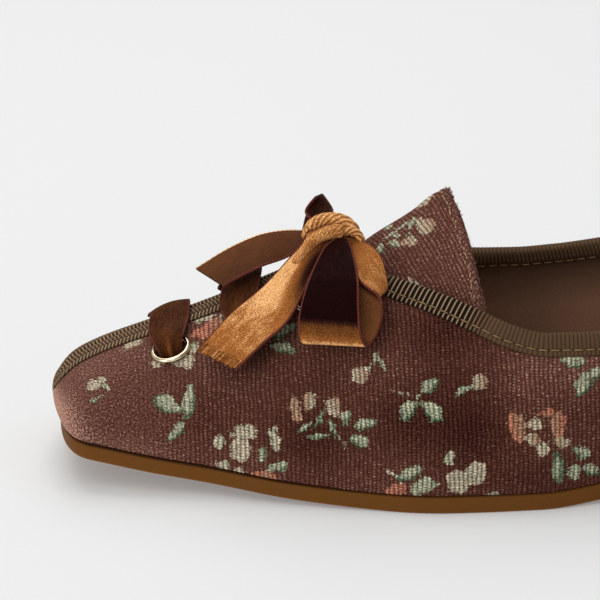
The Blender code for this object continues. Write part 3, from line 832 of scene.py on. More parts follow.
TAIL_MEDIAL = (
    ((61.7, 2.6, 54.9), (60.6, -2.6, 52.8)),
    ((56.1, 4.2, 54.6), (55.4, -2.4, 49.9)),
    ((49.7, 4.6, 53.4), (49.9, -4.0, 48.5)),
    ((42.3, 4.2, 50.2), (43.4, -5.0, 45.6)),
    ((34.9, 4.0, 45.6), (40.8, -5.6, 44.2)),
)
# How the ribbon reads at each row, all of it painted light and shade. Plush runs from 0, looked into and
# dark, to 1, brushed flat and bronze, and shade is painted shadow that takes some of that away beside the
# second selvedge, where the tail passes behind the loop. Back is the weave and lit the first selvedge, from
# in shadow to in the light, and the last number is painted shade that darkens the weave toward the second
# selvedge.
BowLook = namedtuple("BowLook", "plush shade back lit fade")
LATERAL_LOOK = BowLook(
    plush=(0.12, 0.02, 0.0, -0.62, 0.54, 1.0, 0.84, 0.80, 0.83, 0.86, 0.87, 0.84, 0.78, 0.68)
    + (0.84, 0.90, 0.98, 1.0, 0.88, 0.81),
    shade=(0.0,) * 14 + (0.20, 0.60, 0.95, 0.24, 0.0, 0.0),
    back=(0.2,) * 6 + (0.60, 0.55, 0.42, 0.26, 0.14, 0.08, 0.05, 0.05) + (0.3,) * 6,
    lit=(0.0,) * 20,
    fade=0.0,
)
MEDIAL_LOOK = BowLook(
    plush=(0.15,) * 16,
    shade=(0.0,) * 16,
    back=(0.12,) * 11 + (0.20, 0.34, 0.38, 0.38, 0.34),
    lit=(0.0,) * 11 + (0.3, 0.8, 1.0, 0.9, 0.5),
    fade=0.55,
)
RIBBON_WIDTH = 12.0
RIBBON_THICKNESS = 0.6
SELVEDGE_RADIUS = 0.34
SELVEDGE_SIDES = 8
RIBBON_STEPS = 9
ACROSS_STEPS = 17
print("bow rows:", len(LATERAL_LOOK.plush), "and", len(MEDIAL_LOOK.plush))

# %% Making a ribbon
def distance_along(points):
    return np.concatenate([[0], np.cumsum(np.linalg.norm(np.diff(points, axis=0), axis=1))])


def tube(points, radius, sides):
    """Rings round a line, for cords and threads."""
    ahead = unit(np.gradient(points, axis=0))
    rough = np.where(np.abs(ahead[:, 2:]) > 0.9, (1.0, 0, 0), (0, 0, 1.0))
    first = unit(np.cross(ahead, rough))
    second = np.cross(ahead, first)
    turns = np.linspace(0, 2 * math.pi, sides, endpoint=False)
    radius = np.broadcast_to(radius, len(points))[:, None, None]
    spokes = first[:, None] * np.cos(turns)[:, None] + second[:, None] * np.sin(turns)[:, None]
    return points[:, None] + spokes * radius


def chart_of(run, over):
    """Places on a cloth, in millimetres along it and across it."""
    return np.stack(np.broadcast_arrays(run[:, None], over, 0.0), axis=-1)


Tones = namedtuple("Tones", "plush back edge")


def ribbon(name, edges, look, plush_side, full_width, pleat=0.0, droop=0.0):
    """A ribbon between two selvedges: plush on one side, a plain weave on the other.

    look gives the tones of the plush, of the weave and of the first selvedge at each place, which are
    painted light. Where the selvedges come closer than the full width, the spare width stands up in pleats.
    droop lets the selvedges hang below the middle.
    """
    first, second = edges[:, :3], edges[:, 3:]
    middle = (first + second) / 2
    run = distance_along(middle)
    across = second - first
    face = unit(np.cross(np.gradient(middle, axis=0), across))
    turn = np.linspace(-1, 1, ACROSS_STEPS)
    width = np.linalg.norm(across, axis=1)
    spare = np.clip(full_width - width, 0, None) * pleat
    fold = np.cos(turn * math.pi * 2.0) * (1 - turn**4) * spare[:, None]
    fold = (fold - droop * turn**2 * (width / full_width)[:, None]) * plush_side
    sheet = middle[:, None] + across[:, None] * turn[:, None] / 2 + face[:, None] * fold[..., None]
    chart = chart_of(run, turn * RIBBON_WIDTH / 2)
    tones = look(run, turn, spare)
    plush, back = (np.broadcast_to(tone, sheet.shape[:2]) for tone in (tones.plush, tones.back))
    build = Builder()
    lift = face[:, None] * RIBBON_THICKNESS / 2 * plush_side
    for side, tone, slot in ((1, plush, 0), (-1, back, 1)):
        way = side * plush_side
        build.grid((sheet + lift * side)[:, ::way], slot, chart=chart[:, ::way], face=tone[:, ::way])
    # The first selvedge takes a painted highlight where look says so; the second keeps its dark colour.
    for edge, lit in ((sheet[:, 0], tones.edge), (sheet[:, -1], 0.0)):
        rings = tube(edge, SELVEDGE_RADIUS, SELVEDGE_SIDES)
        lit = np.broadcast_to(np.reshape(lit, (-1, 1)), rings.shape[:2])
        build.grid(rings, 2, wrap=True, chart=chart_of(run, np.arange(SELVEDGE_SIDES) * 0.3), face=lit)
    piece = add_piece(name, build, [PLUSH, WOVEN_BACK, SELVEDGE])
    print(name, "is", round(run[-1], 1), "mm long,", triangles(piece), "triangles")
    return piece, to_frame(middle), run[-1]

# %% Bow loops and tails
def between_rows(values, count):
    """Values given at the rows of a route, eased from each row to the next."""
    place = np.arange(count) / RIBBON_STEPS
    whole = np.floor(place)
    t = place - whole
    return np.interp(whole + t * t * (3 - 2 * t), np.arange(len(values)), values)


def selvedge_rows(*routes):
    """Both selvedges along one or more routes, smoothed, six numbers to a row."""
    return smooth_path([(*first, *second) for route in routes for first, second in route], RIBBON_STEPS)


def bow_half(name, loop, tail, half, plush_side, nodes):
    def look(run, turn, spare):
        plush, shade, back, lit = (between_rows(values, len(run))[:, None] for values in half[:4])
        # Painted shadow beside the second selvedge, and painted shade on the weave toward it.
        plush = plush - shade * np.clip(turn + 0.2, 0, 1)
        return Tones(plush, back * (1 - half.fade * (turn + 1) / 2), lit)

    made = ribbon(name, selvedge_rows(loop, tail), look, plush_side, RIBBON_WIDTH)
    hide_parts(*nodes)
    return made


bow_lateral, lateral_path, lateral_length = bow_half(
    "bow_lateral", LOOP_LATERAL, TAIL_LATERAL, LATERAL_LOOK, 1, ["bow_loop_lateral", "bow_tail_lateral"]
)
bow_medial, medial_path, medial_length = bow_half(
    "bow_medial", LOOP_MEDIAL, TAIL_MEDIAL, MEDIAL_LOOK, -1, ["bow_loop_medial", "bow_tail_medial"]
)

# %% Frayed end
FRAY_THREADS = 62
FRAY_LENGTH = 2.8
FRAY_RADIUS = 0.105
FRAY_SIDES = 6
FRAY_LIFT = 0.34
chances = np.random.default_rng(5)


def frayed_end(name, edges):
    """Loose threads over the cut end of a tail, side by side, each a little astray."""
    last, before = edges[-1], edges[-4]
    build = Builder()
    for share in np.linspace(0.03, 0.97, FRAY_THREADS):
        end = last[:3] * (1 - share) + last[3:] * share
        start = before[:3] * (1 - share) + before[3:] * share
        ahead = unit(end - start)
        up = unit(np.cross(ahead, last[3:] - last[:3]))
        astray = chances.normal(0, 0.16, 3)
        past = FRAY_LENGTH * chances.uniform(0.02, 0.24)
        route = [end - ahead * FRAY_LENGTH * chances.uniform(0.5, 0.9), end, end + (ahead + astray) * past]
        rings = tube(np.array(route) + up * FRAY_LIFT, FRAY_RADIUS, FRAY_SIDES)
        chart = chart_of(np.arange(3.0), np.arange(FRAY_SIDES) * 0.2 + share * 9)
        tone = np.full(rings.shape[:2], chances.uniform(0.55, 0.95))
        build.grid(rings, 0, wrap=True, chart=chart, face=tone)
    return add_piece(name, build, [PLUSH])


fray = frayed_end("bow_fray", selvedge_rows(TAIL_LATERAL))
print("frayed threads:", FRAY_THREADS, "-", triangles(fray), "triangles")

# %% [markdown]
# ## The knot
# The knot is the ribbon drawn tight: twisted like a rope and arched over the crossing. A rounded core
# fills it, and four ropes lie over that: the arch, a strand beside it, the roll that opens into the tail,
# and one behind. Each rope is a tube whose skin is scored by a helix, which gives the strands.

# %% Routes of the knot
KNOT_CENTRE = np.array([67.6, -0.8, 56.0])
KNOT_RADII = np.array([6.2, 4.4, 3.3])
KNOT_CORE = 0.95
# The core is painted darker than the ropes: painted shade between them.
KNOT_CORE_TONE = 0.60
ARCH = (
    (60.6, -4.6, 54.4),
    (61.2, -4.2, 56.2),
    (62.0, -4.0, 58.0),
    (64.1, -3.6, 59.2),
    (67.1, -3.6, 59.5),
    (69.7, -4.0, 58.8),
    (71.1, -4.6, 57.4),
    (71.6, -5.2, 55.6),
)
STRAND = (
    (68.4, -6.2, 56.8),
    (70.5, -6.0, 57.3),
    (72.2, -5.8, 56.7),
    (73.3, -6.0, 55.2),
    (73.6, -6.6, 54.0),
)
ROLL = (
    (69.3, -6.4, 57.0),
    (67.5, -7.0, 57.5),
    (64.7, -7.4, 57.1),
    (62.3, -7.6, 55.8),
    (60.4, -7.6, 53.7),
    (58.8, -7.6, 51.4),
    (57.2, -7.2, 49.2),
)
BEHIND = tuple((x, 2 * KNOT_CENTRE[1] - y, z - 2.4) for x, y, z in ARCH)

# %% Knot
ROPE_SIDES = 36
Rope = namedtuple("Rope", "route radius tone strands twist depth end")
# A rope's tone is painted light on the plush; the rope behind is painted darker, as shade.
ROPES = (
    Rope(ARCH, 1.65, 1.00, 7, 0.55, 0.12, 1.0),
    Rope(STRAND, 1.05, 1.00, 5, 0.80, 0.14, 1.0),
    Rope(ROLL, 1.85, 0.92, 9, 0.70, 0.05, 0.35),
    Rope(BEHIND, 1.35, 0.60, 5, 0.80, 0.14, 1.0),
)


def rope(build, row):
    """A length of ribbon twisted tight: a tube whose skin is scored by a helix, with painted shade in the
    scores.
    """
    line = smooth_path(row.route, 14)
    run = distance_along(line)
    taper = np.sqrt(np.clip(np.minimum(run, run[-1] - run) / 1.2, 0.15, 1))
    radius = row.radius * taper * np.linspace(1, row.end, len(run)) ** 0.5
    rings = tube(line, radius, ROPE_SIDES)
    spin = np.linspace(0, 2 * math.pi, ROPE_SIDES, endpoint=False)
    score = np.abs(np.sin((spin + run[:, None] * row.twist) * row.strands / 2)) ** 0.6
    rings = line[:, None] + (rings - line[:, None]) * (1 - row.depth * (1 - score[..., None]))
    # Painted shade in the scores between the strands.
    tone = row.tone * (1 - 2.6 * row.depth * (1 - score))
    build.grid(rings, 0, wrap=True, chart=chart_of(run, spin * 1.5), face=tone)


def knot_wrap():
    build = Builder()
    turns = np.linspace(0, 2 * math.pi, 40)
    tilts = np.linspace(-math.pi / 2, math.pi / 2, 24)[:, None]
    ball = np.broadcast_arrays(np.cos(turns) * np.cos(tilts), np.sin(turns) * np.cos(tilts), np.sin(tilts))
    core = KNOT_CENTRE + np.stack(ball, axis=-1) * KNOT_RADII * KNOT_CORE
    build.grid(core, 0, chart=core, face=np.full(core.shape[:2], KNOT_CORE_TONE))
    for row in ROPES:
        rope(build, row)
    piece = add_piece("bow_knot_wrap", build, [PLUSH])
    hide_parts("bow_knot")
    return piece


knot = knot_wrap()
print("knot:", triangles(knot), "triangles")

# %% [markdown]
# Both leave the shoe at the knot and end in a bare cut edge.

print("bow lengths, mm:", round(lateral_length, 1), round(medial_length, 1))

# %% [markdown]
# ## The upper's skin
# A fine grid over the last carries the velvet: columns along the shoe, closer where the camera looks, and
# rows from the feather line to the bound edge, evenly spaced over the curve. Both halves are one grid
# that runs from the back seam round the toe and back. Below the feather line the cloth turns in under the
# foot, as it does when it is lasted. It closes the gap above the sole, and it takes the darkest tone, painted
# shade for the shadow line there.

# %% Grid of the upper
def even_angles(along, side, shares):
    """Angles that split the girth from the feather to the bound edge into even steps, and that girth."""
    angles = np.linspace(0, float(edge_angle(along, side)), 160)
    run = distance_along(last_point(along, side, angles))
    return np.interp(shares * run[-1], run, angles), shares * run[-1]


def upper_columns(step):
    toe = TOE_ROUND * np.linspace(0, 1, int(28 / step)) ** 2.2
    seen = np.arange(TOE_ROUND + step, 150, step)
    back = np.arange(150, LENGTH - HEEL_ROUND, 1.7 * step)
    heel = LENGTH - HEEL_ROUND * np.linspace(1, 0, int(26 / step)) ** 2.2
    return np.unique(np.concatenate([toe, seen, back, heel]))


def upper_grid(columns, row_count):
    """Points, normals, girth and side of a grid over both halves, medial heel to lateral heel."""
    shares = np.linspace(0, 1, row_count)
    columns_of = [(along, MEDIAL) for along in columns[::-1]] + [(along, LATERAL) for along in columns[1:]]
    points, normals, girths = [], [], []
    for along, side in columns_of:
        angles, girth = even_angles(along, side, shares)
        points.append(last_point(along, side, angles))
        normals.append(surface_normal(along, side, np.clip(angles, 0.02, math.pi / 2 - 0.005)))
        girths.append(girth)
    stacked = [np.stack(values, axis=1) for values in (points, normals, girths)]
    return (*stacked, np.array(columns_of))


points, normals, girth, columns_of = upper_grid(upper_columns(0.62), 100)
print("upper grid:", points.shape[:2])

# %% [markdown]
# ### Creases
# Worn or not, an upper is never as smooth as its last. Soft troughs, each between two low ridges, are
# given in the shoe's own sizes: under the throat, across the ball where the foot bends, and on the
# quarter. At the front the cloth swells a little over the sole's edge.

# %% Creases
Crease = namedtuple("Crease", "side along girth long wide turn depth")
CREASES = (
    Crease(LATERAL, 104, 26, 20, 6.0, 70, 0.75),
    Crease(LATERAL, 92, 34, 15, 5.0, 55, 0.55),
    Crease(LATERAL, 118, 24, 16, 6.0, 95, 0.45),
    Crease(LATERAL, 62, 22, 22, 7.0, 80, 0.35),
    Crease(LATERAL, 150, 22, 20, 8.0, 95, 0.50),
    Crease(MEDIAL, 100, 24, 18, 6.0, 75, 0.60),
    Crease(MEDIAL, 140, 22, 20, 8.0, 95, 0.45),
)
TOE_PUFF = 0.60
TOE_PUFF_REACH = (7.0, 2.4)
TOE_PUFF_GIRTH = 2.7


def crease_depth(along, girth, side):
    depth = np.zeros_like(girth)
    for crease in CREASES:
        turn = math.radians(crease.turn)
        x = along - crease.along
        y = girth - crease.girth
        down = (x * math.cos(turn) + y * math.sin(turn)) / crease.long
        over = (y * math.cos(turn) - x * math.sin(turn)) / crease.wide
        trough = np.exp(-(down**2)) * (np.exp(-(over**2)) - 0.45 * np.exp(-((np.abs(over) - 1.5) ** 2)))
        depth += np.where(side == crease.side, crease.depth * trough, 0)
    return depth


def toe_puff(along, girth):
    """The soft swell of the cloth over the toe's front."""
    far = (along / TOE_PUFF_REACH[0]) ** 2 + ((girth - TOE_PUFF_GIRTH) / TOE_PUFF_REACH[1]) ** 2
    return TOE_PUFF * np.exp(-far)


crease = crease_depth(columns_of[:, 0], girth, columns_of[:, 1])
puff = toe_puff(columns_of[:, 0], girth)
skin = points + normals * (puff - crease)[..., None]
print("deepest crease, mm:", round(float(crease.max()), 2), "toe puff:", round(float(puff.max()), 2))

# %% [markdown]
# ### The print
# Ditsy florals repeat a few small sprays: a bud on a stem, three leaves, an open flower, a rose with
# leaves. Each spray is charted as a few petals and blades, in millimetres. Sprays on the side that shows
# are set by the pixel where they sit in the photograph, cast onto the velvet along the camera's own ray.
# The rest are scattered by their place along the shoe.

# %% Sprays of the print
GREEN, SAGE, CREAM, BEIGE, CORAL = 0.06, 0.22, 0.45, 0.66, 0.98
Shape = namedtuple("Shape", "kind x y long wide turn tone tip")


def petal(*sizes):
    return Shape("petal", *sizes)


def blade(*sizes):
    return Shape("blade", *sizes)


SPRAYS = {
    "bud": (
        petal(-1.0, 0.8, 3.6, 2.4, 25, CREAM, CREAM),
        petal(0.7, 1.9, 2.2, 1.6, 30, CREAM, CREAM),
        blade(2.1, 0.6, 4.2, 0.7, -66, SAGE, SAGE),
        blade(0.2, -2.4, 4.0, 0.7, 30, GREEN, SAGE),
    ),
    "three leaves": (
        blade(-3.3, 1.7, 7.5, 4.0, -30, GREEN, SAGE),
        blade(2.1, 2.4, 8.1, 3.4, 83, GREEN, SAGE),
        blade(-0.7, -4.4, 6.4, 2.5, 46, GREEN, SAGE),
        blade(0.6, -1.4, 4.4, 0.5, 70, GREEN, GREEN),
    ),
    "pale flower": (
        petal(0.0, 0.0, 6.0, 3.2, 0, CREAM, CREAM),
        petal(-6.0, -0.3, 3.6, 1.7, 25, CREAM, CREAM),
        petal(2.2, 3.1, 1.8, 3.0, -20, SAGE, CREAM),
    ),
    "coral flower": (
        petal(-0.5, -1.2, 6.5, 2.6, 15, CORAL, CORAL),
        petal(1.7, 0.9, 5.0, 2.2, 20, CORAL, BEIGE),
        petal(-1.2, 1.9, 4.8, 1.8, 10, CREAM, CREAM),
        petal(4.0, 3.3, 1.3, 2.0, -20, SAGE, CREAM),
    ),
    "two leaves": (
        blade(0.2, 2.0, 6.6, 2.7, 32, GREEN, SAGE),
        blade(0.2, -1.9, 6.4, 2.7, -8, SAGE, GREEN),
    ),
    "sprig": (
        petal(-1.9, -1.6, 4.2, 3.8, 20, CREAM, BEIGE),
        blade(0.9, 0.6, 4.6, 0.6, 38, SAGE, SAGE),
        blade(3.2, 1.0, 3.6, 0.8, -62, SAGE, SAGE),
        blade(1.8, 2.6, 3.0, 1.2, 70, SAGE, SAGE),
    ),
    "cream flower": (
        petal(0.0, 2.3, 5.7, 3.6, 5, CREAM, CREAM),
        petal(-0.8, -1.9, 5.0, 5.2, 0, CREAM, CREAM),
        petal(-5.8, -0.1, 2.6, 3.1, 0, CREAM, SAGE),
        petal(7.1, 0.8, 2.4, 5.2, 12, SAGE, CREAM),
        blade(4.4, -3.0, 3.8, 1.8, 80, SAGE, GREEN),
    ),
    "low petals": (
        petal(-6.3, 1.4, 3.2, 2.0, 0, CREAM, SAGE),
        petal(-3.0, 0.0, 3.2, 1.6, 0, CREAM, CREAM),
        petal(1.3, -0.6, 2.2, 1.3, 0, CORAL, CORAL),
        petal(4.4, -0.7, 3.8, 2.4, 0, BEIGE, CORAL),
        blade(6.4, 1.2, 5.4, 2.1, 15, GREEN, SAGE),
    ),
    "beige flower": (
        petal(-4.9, 2.7, 2.6, 5.4, 12, BEIGE, BEIGE),
        petal(-1.7, 4.3, 2.9, 3.8, -10, BEIGE, CREAM),
        petal(3.8, 3.2, 3.3, 4.4, 20, CREAM, BEIGE),
        blade(0.6, 0.4, 5.4, 1.4, 62, GREEN, GREEN),
        blade(3.4, -1.8, 4.6, 1.2, 100, GREEN, GREEN),
        blade(-2.6, -1.6, 5.0, 1.3, 35, GREEN, SAGE),
        blade(0.6, -3.6, 6.6, 1.2, 8, GREEN, GREEN),
    ),
    "leaf fan": (
        blade(-2.5, 3.0, 4.6, 2.2, 70, GREEN, SAGE),
        blade(1.9, 1.2, 5.6, 2.7, 12, SAGE, GREEN),
        blade(0.5, -2.7, 5.4, 2.9, -25, GREEN, SAGE),
        blade(-3.6, -2.6, 6.6, 0.5, -64, SAGE, SAGE),
    ),
    "leaf trio": (
        blade(-2.7, -2.0, 6.0, 3.2, 55, GREEN, SAGE),
        blade(2.9, -2.3, 7.2, 3.4, -42, SAGE, GREEN),
        blade(2.1, 3.5, 5.6, 2.8, 35, SAGE, GREEN),
        blade(-3.4, 1.7, 6.4, 0.5, -14, BEIGE, SAGE),
        blade(0.3, 1.4, 4.0, 0.5, 60, SAGE, SAGE),
    ),
    "small bud": (
        petal(1.1, 0.7, 3.4, 3.6, 0, CREAM, BEIGE),
        blade(-1.2, -0.6, 3.2, 0.5, 35, SAGE, SAGE),
        blade(-3.2, -1.5, 3.2, 1.3, 50, SAGE, GREEN),
    ),
    "rose": (
        petal(-5.2, 1.0, 3.8, 6.5, 10, CORAL, BEIGE),
        petal(4.2, 1.5, 3.6, 5.4, 0, BEIGE, CORAL),
        blade(1.7, 3.9, 4.6, 1.8, 5, CORAL, CORAL),
        petal(-1.0, 1.3, 2.9, 2.7, 0, CREAM, CREAM),
        petal(-1.7, -2.0, 2.9, 3.1, 0, CREAM, BEIGE),
        petal(0.7, -4.3, 2.9, 2.9, 20, CREAM, CREAM),
        petal(4.9, -2.9, 4.5, 2.4, 0, BEIGE, CREAM),
    ),
    "greenery": (
        blade(-2.3, -0.6, 8.2, 3.2, 100, GREEN, GREEN),
        blade(3.1, 2.9, 5.0, 2.7, -20, GREEN, SAGE),
        petal(1.3, -1.8, 3.1, 3.6, 0, SAGE, SAGE),
        blade(5.7, -1.2, 5.4, 2.7, -25, SAGE, GREEN),
    ),
    "leaf spray": (
        blade(-0.8, 2.5, 7.2, 3.2, -5, SAGE, GREEN),
        blade(1.2, -2.9, 6.8, 4.2, 65, GREEN, SAGE),
        blade(4.3, -0.4, 4.0, 2.7, 20, GREEN, SAGE),
    ),
    "posy": (
        blade(-9.0, 1.4, 7.0, 2.9, 25, GREEN, SAGE),
        petal(-11.8, -2.3, 5.0, 2.4, 5, CORAL, CORAL),
        petal(-6.0, -1.5, 6.4, 3.8, 20, SAGE, SAGE),
        petal(1.8, -0.5, 5.2, 5.5, 0, CREAM, CREAM),
        petal(5.8, 1.7, 4.8, 5.0, 0, CREAM, CREAM),
        petal(0.0, 4.9, 2.2, 3.4, 0, SAGE, CREAM),
        petal(10.4, -3.2, 3.0, 1.3, 0, CREAM, SAGE),
        blade(-13.6, 1.6, 5.6, 0.5, -38, BEIGE, SAGE),
    ),
    "bud stem": (
        petal(3.6, 1.9, 4.4, 3.8, 30, CREAM, BEIGE),
        petal(-0.2, -1.7, 3.3, 1.9, 5, BEIGE, CREAM),
        blade(-3.6, 0.5, 9.0, 0.55, 36, SAGE, SAGE),
        blade(-1.9, -0.3, 7.0, 0.5, 4, SAGE, SAGE),
        blade(-3.8, -2.3, 3.0, 1.6, -12, SAGE, SAGE),
        blade(-6.9, -3.3, 3.2, 1.8, 60, SAGE, SAGE),
        blade(0.5, 2.6, 4.0, 1.2, 65, SAGE, SAGE),
        blade(-4.4, 2.0, 2.6, 0.9, 40, SAGE, SAGE),
    ),
    "petal": (petal(0, 0, 4.8, 1.5, 26, CREAM, CREAM),),
}
print("sprays:", len(SPRAYS), "with", sum(len(shapes) for shapes in SPRAYS.values()), "shapes")

# %% Where the sprays fall
Seen = namedtuple("Seen", "spray pixel turn size", defaults=(0, 1.0))
SEEN_SPRAYS = (
    Seen("bud", (97, 388)),
    Seen("petal", (132, 344)),
    Seen("three leaves", (180, 412)),
    Seen("pale flower", (184, 361)),
    Seen("coral flower", (207, 327)),
    Seen("two leaves", (283, 340)),
    Seen("sprig", (368, 368)),
    Seen("cream flower", (244, 442)),
    Seen("low petals", (250, 472)),
    Seen("beige flower", (317, 420)),
    Seen("leaf fan", (357, 430)),
    Seen("leaf trio", (420, 402)),
    Seen("small bud", (475, 385)),
    Seen("rose", (540, 430)),
    Seen("greenery", (568, 465)),
    Seen("leaf spray", (578, 372)),
    Seen("posy", (450, 480)),
)
Scattered = namedtuple("Scattered", "spray side along girth turn size", defaults=(1.0,))
SCATTERED_SPRAYS = (
    Scattered("rose", LATERAL, 152, 27, 10),
    Scattered("three leaves", LATERAL, 148, 9, 120, 0.9),
    Scattered("cream flower", LATERAL, 168, 13, -20),
    Scattered("sprig", LATERAL, 170, 32, 0),
    Scattered("leaf trio", LATERAL, 186, 26, 60),
    Scattered("coral flower", LATERAL, 192, 10, 0),
    Scattered("bud stem", LATERAL, 206, 34, 30, 0.9),
    Scattered("beige flower", LATERAL, 216, 16, 15),
    Scattered("leaf fan", LATERAL, 233, 30, 80),
    Scattered("cream flower", MEDIAL, 240, 16, 0),
    Scattered("bud", MEDIAL, 232, 38, 45),
    Scattered("rose", MEDIAL, 216, 24, -10),
    Scattered("two leaves", MEDIAL, 198, 40, 20),
    Scattered("coral flower", MEDIAL, 190, 14, 30),
    Scattered("three leaves", MEDIAL, 172, 30, 160),
    Scattered("cream flower", MEDIAL, 156, 14, 10),
    Scattered("bud stem", MEDIAL, 140, 30, 200, 0.9),
    Scattered("beige flower", MEDIAL, 122, 16, 0),
    Scattered("rose", MEDIAL, 104, 28, 20),
    Scattered("leaf fan", MEDIAL, 96, 11, 100),
    Scattered("sprig", MEDIAL, 84, 38, 180),
    Scattered("cream flower", MEDIAL, 74, 16, 0),
    Scattered("three leaves", MEDIAL, 54, 36, 40),
    Scattered("coral flower", MEDIAL, 46, 14, 10),
    Scattered("bud", MEDIAL, 30, 26, 80),
    Scattered("two leaves", MEDIAL, 20, 12, 10, 0.9),
)
print("sprays placed:", len(SEEN_SPRAYS), "seen and", len(SCATTERED_SPRAYS), "unseen")

# %% Printing
LEAF_SHADING = 0.16
LEAF_RIM_SHARE = 0.24
LEAF_HEART = 0.10
SPRAY_REACH = 17.0
BARE = -3.0


def shape_depth(shape, x, y):
    """How deep points lie inside a petal or a blade, in millimetres, and the tone there.

    A blade is a leaf: pointed at both ends, pale at heart, darker at its rim and on one side of its midrib.
    """
    turn = math.radians(shape.turn)
    along = (x - shape.x) * math.cos(turn) + (y - shape.y) * math.sin(turn)
    over = (y - shape.y) * math.cos(turn) - (x - shape.x) * math.sin(turn)
    share = np.clip(along / shape.long + 0.5, 0, 1)
    tone = shape.tone + (shape.tip - shape.tone) * share
    if shape.kind == "petal":
        round_off = np.hypot(2 * along / shape.long, 2 * over / shape.wide)
        return (1 - round_off) * min(shape.long, shape.wide) / 2, tone
    past = np.clip(np.abs(along) - shape.long / 2, 0, None)
    inside = shape.wide / 2 * (1 - (2 * share - 1) ** 2) - np.abs(over) - past
    lit_side = np.clip(over / (shape.wide / 2), -1, 1) * LEAF_SHADING
    rim = np.clip(1 - inside / (LEAF_RIM_SHARE * shape.wide), 0, 1) * LEAF_SHADING
    heart = np.clip(3 * inside / shape.wide, 0, 1) * LEAF_HEART
    return inside, np.maximum(tone + lit_side - rim + heart, 0)


class Print:
    """The ink on a cloth: for each vertex the depth inside a printed shape and the tone of that shape."""

    def __init__(self, places):
        self.places = places.reshape(-1, 3)
        self.ink = np.full(len(self.places), BARE)
        self.tone = np.full(len(self.places), CREAM)

    def spray(self, name, centre, right, up, turn, size):
        offset = self.places - centre
        near = np.nonzero((offset**2).sum(1) < (SPRAY_REACH * size) ** 2)[0]
        turn = math.radians(turn)
        flat_x, flat_y = offset[near] @ right / size, offset[near] @ up / size
        x = flat_x * math.cos(turn) + flat_y * math.sin(turn)
        y = flat_y * math.cos(turn) - flat_x * math.sin(turn)
        for shape in SPRAYS[name]:
            depth, tone = shape_depth(shape, x, y)
            depth = depth * size
            wins = depth > self.ink[near]
            self.ink[near[wins]] = depth[wins]
            self.tone[near[wins]] = tone[wins]


print("a spray reaches", SPRAY_REACH, "mm, and a leaf's rim is", LEAF_RIM_SHARE, "of its width")

# %% Casting the print onto cloth
def bvh_of(grid):
    """A search tree over a grid, in the frame's metres."""
    quads = grid_quads(np.arange(grid.shape[0] * grid.shape[1]).reshape(grid.shape[:2]))
    return BVHTree.FromPolygons(to_frame(grid).reshape(-1, 3).tolist(), quads.reshape(-1, 4).tolist())


def from_frame(point):
    return (np.array(point) - SHIFT) / MM


def print_seen(cloth, tree, sprays):
    for row in sprays:
        hit = tree.ray_cast(camera.location, photo_ray(row.pixel))[0]
        if hit is None:
            print("no cloth at", row)
            continue
        right, up = np.array(CAMERA_RIGHT), np.array(CAMERA_UP)
        cloth.spray(row.spray, from_frame(hit), right, up, row.turn, row.size)


def print_scattered(cloth, sprays):
    for row in sprays:
        angles, run = even_angles(row.along, row.side, np.linspace(0, 1, 100))
        angle = np.interp(row.girth, run, angles)
        normal = surface_normal(row.along, row.side, angle)
        right = unit(np.cross(normal, (0, 0, -1.0)))
        centre = last_point(row.along, row.side, angle)
        cloth.spray(row.spray, centre, right, np.cross(normal, right), row.turn, row.size)


skin_tree = bvh_of(skin)
upper_print = Print(skin)
print_seen(upper_print, skin_tree, SEEN_SPRAYS)
print_scattered(upper_print, SCATTERED_SPRAYS)
print("printed share of the upper:", round(float((upper_print.ink > 0).mean()), 3))

# %% [markdown]
# ### Cutting the velvet
# The skin becomes a mesh with its chart, nap and print. The nap number darkens the pile in soft patches,
# and at the toe, where the lanes also lie flat, it is a painted highlight: the sheen on the toe's front and
# the light from the floor along its lower edge. Faces over each eyelet are left out, so the ribbon passes
# through a real hole under the ring.

# %% Eyelet places
EYELET_ALONG = (28.3, 45.5, 61.5)
EYELET_OFFSET = 12.8
EYELET_HOLE = 3.9


def eyelet_place(along, side):
    """Where an eyelet sits: its point on the upper, the normal there, and the way toward the ridge."""
    angle = float(offset_angle(along, side, EYELET_OFFSET))
    point = last_point(along, side, angle)
    normal = surface_normal(along, side, angle)
    toward = last_point(along, side, angle + 0.02) - point
    return point, normal, unit(toward - normal * (toward @ normal))


EYELETS = {
    f"eyelet_{word}_{number}": eyelet_place(along, side)
    for number, along in enumerate(EYELET_ALONG, start=1)
    for word, side in SIDES.items()
}


def away_from_eyelets(grid, radius):
    """Faces of a grid whose middle is outside every eyelet's hole."""
    middle = (grid[:-1, :-1] + grid[1:, 1:]) / 2
    keep = np.ones(middle.shape[:2], bool)
    for point, _, _ in EYELETS.values():
        keep &= np.linalg.norm(middle - point, axis=-1) > radius
    return keep


print("eyelets at", [tuple(np.round(point, 1)) for point, _, _ in EYELETS.values()][:2])

# %% Velvet piece
TURN_IN = ((0.0, 0.0), (0.15, 0.25), (0.30, 0.55), (2.5, 0.55), (6.0, 0.55))
LANES_FROM, LANES_RUN, FLATTEST_LANES = 12, 26, 0.08
Patch = namedtuple("Patch", "along girth long wide change")
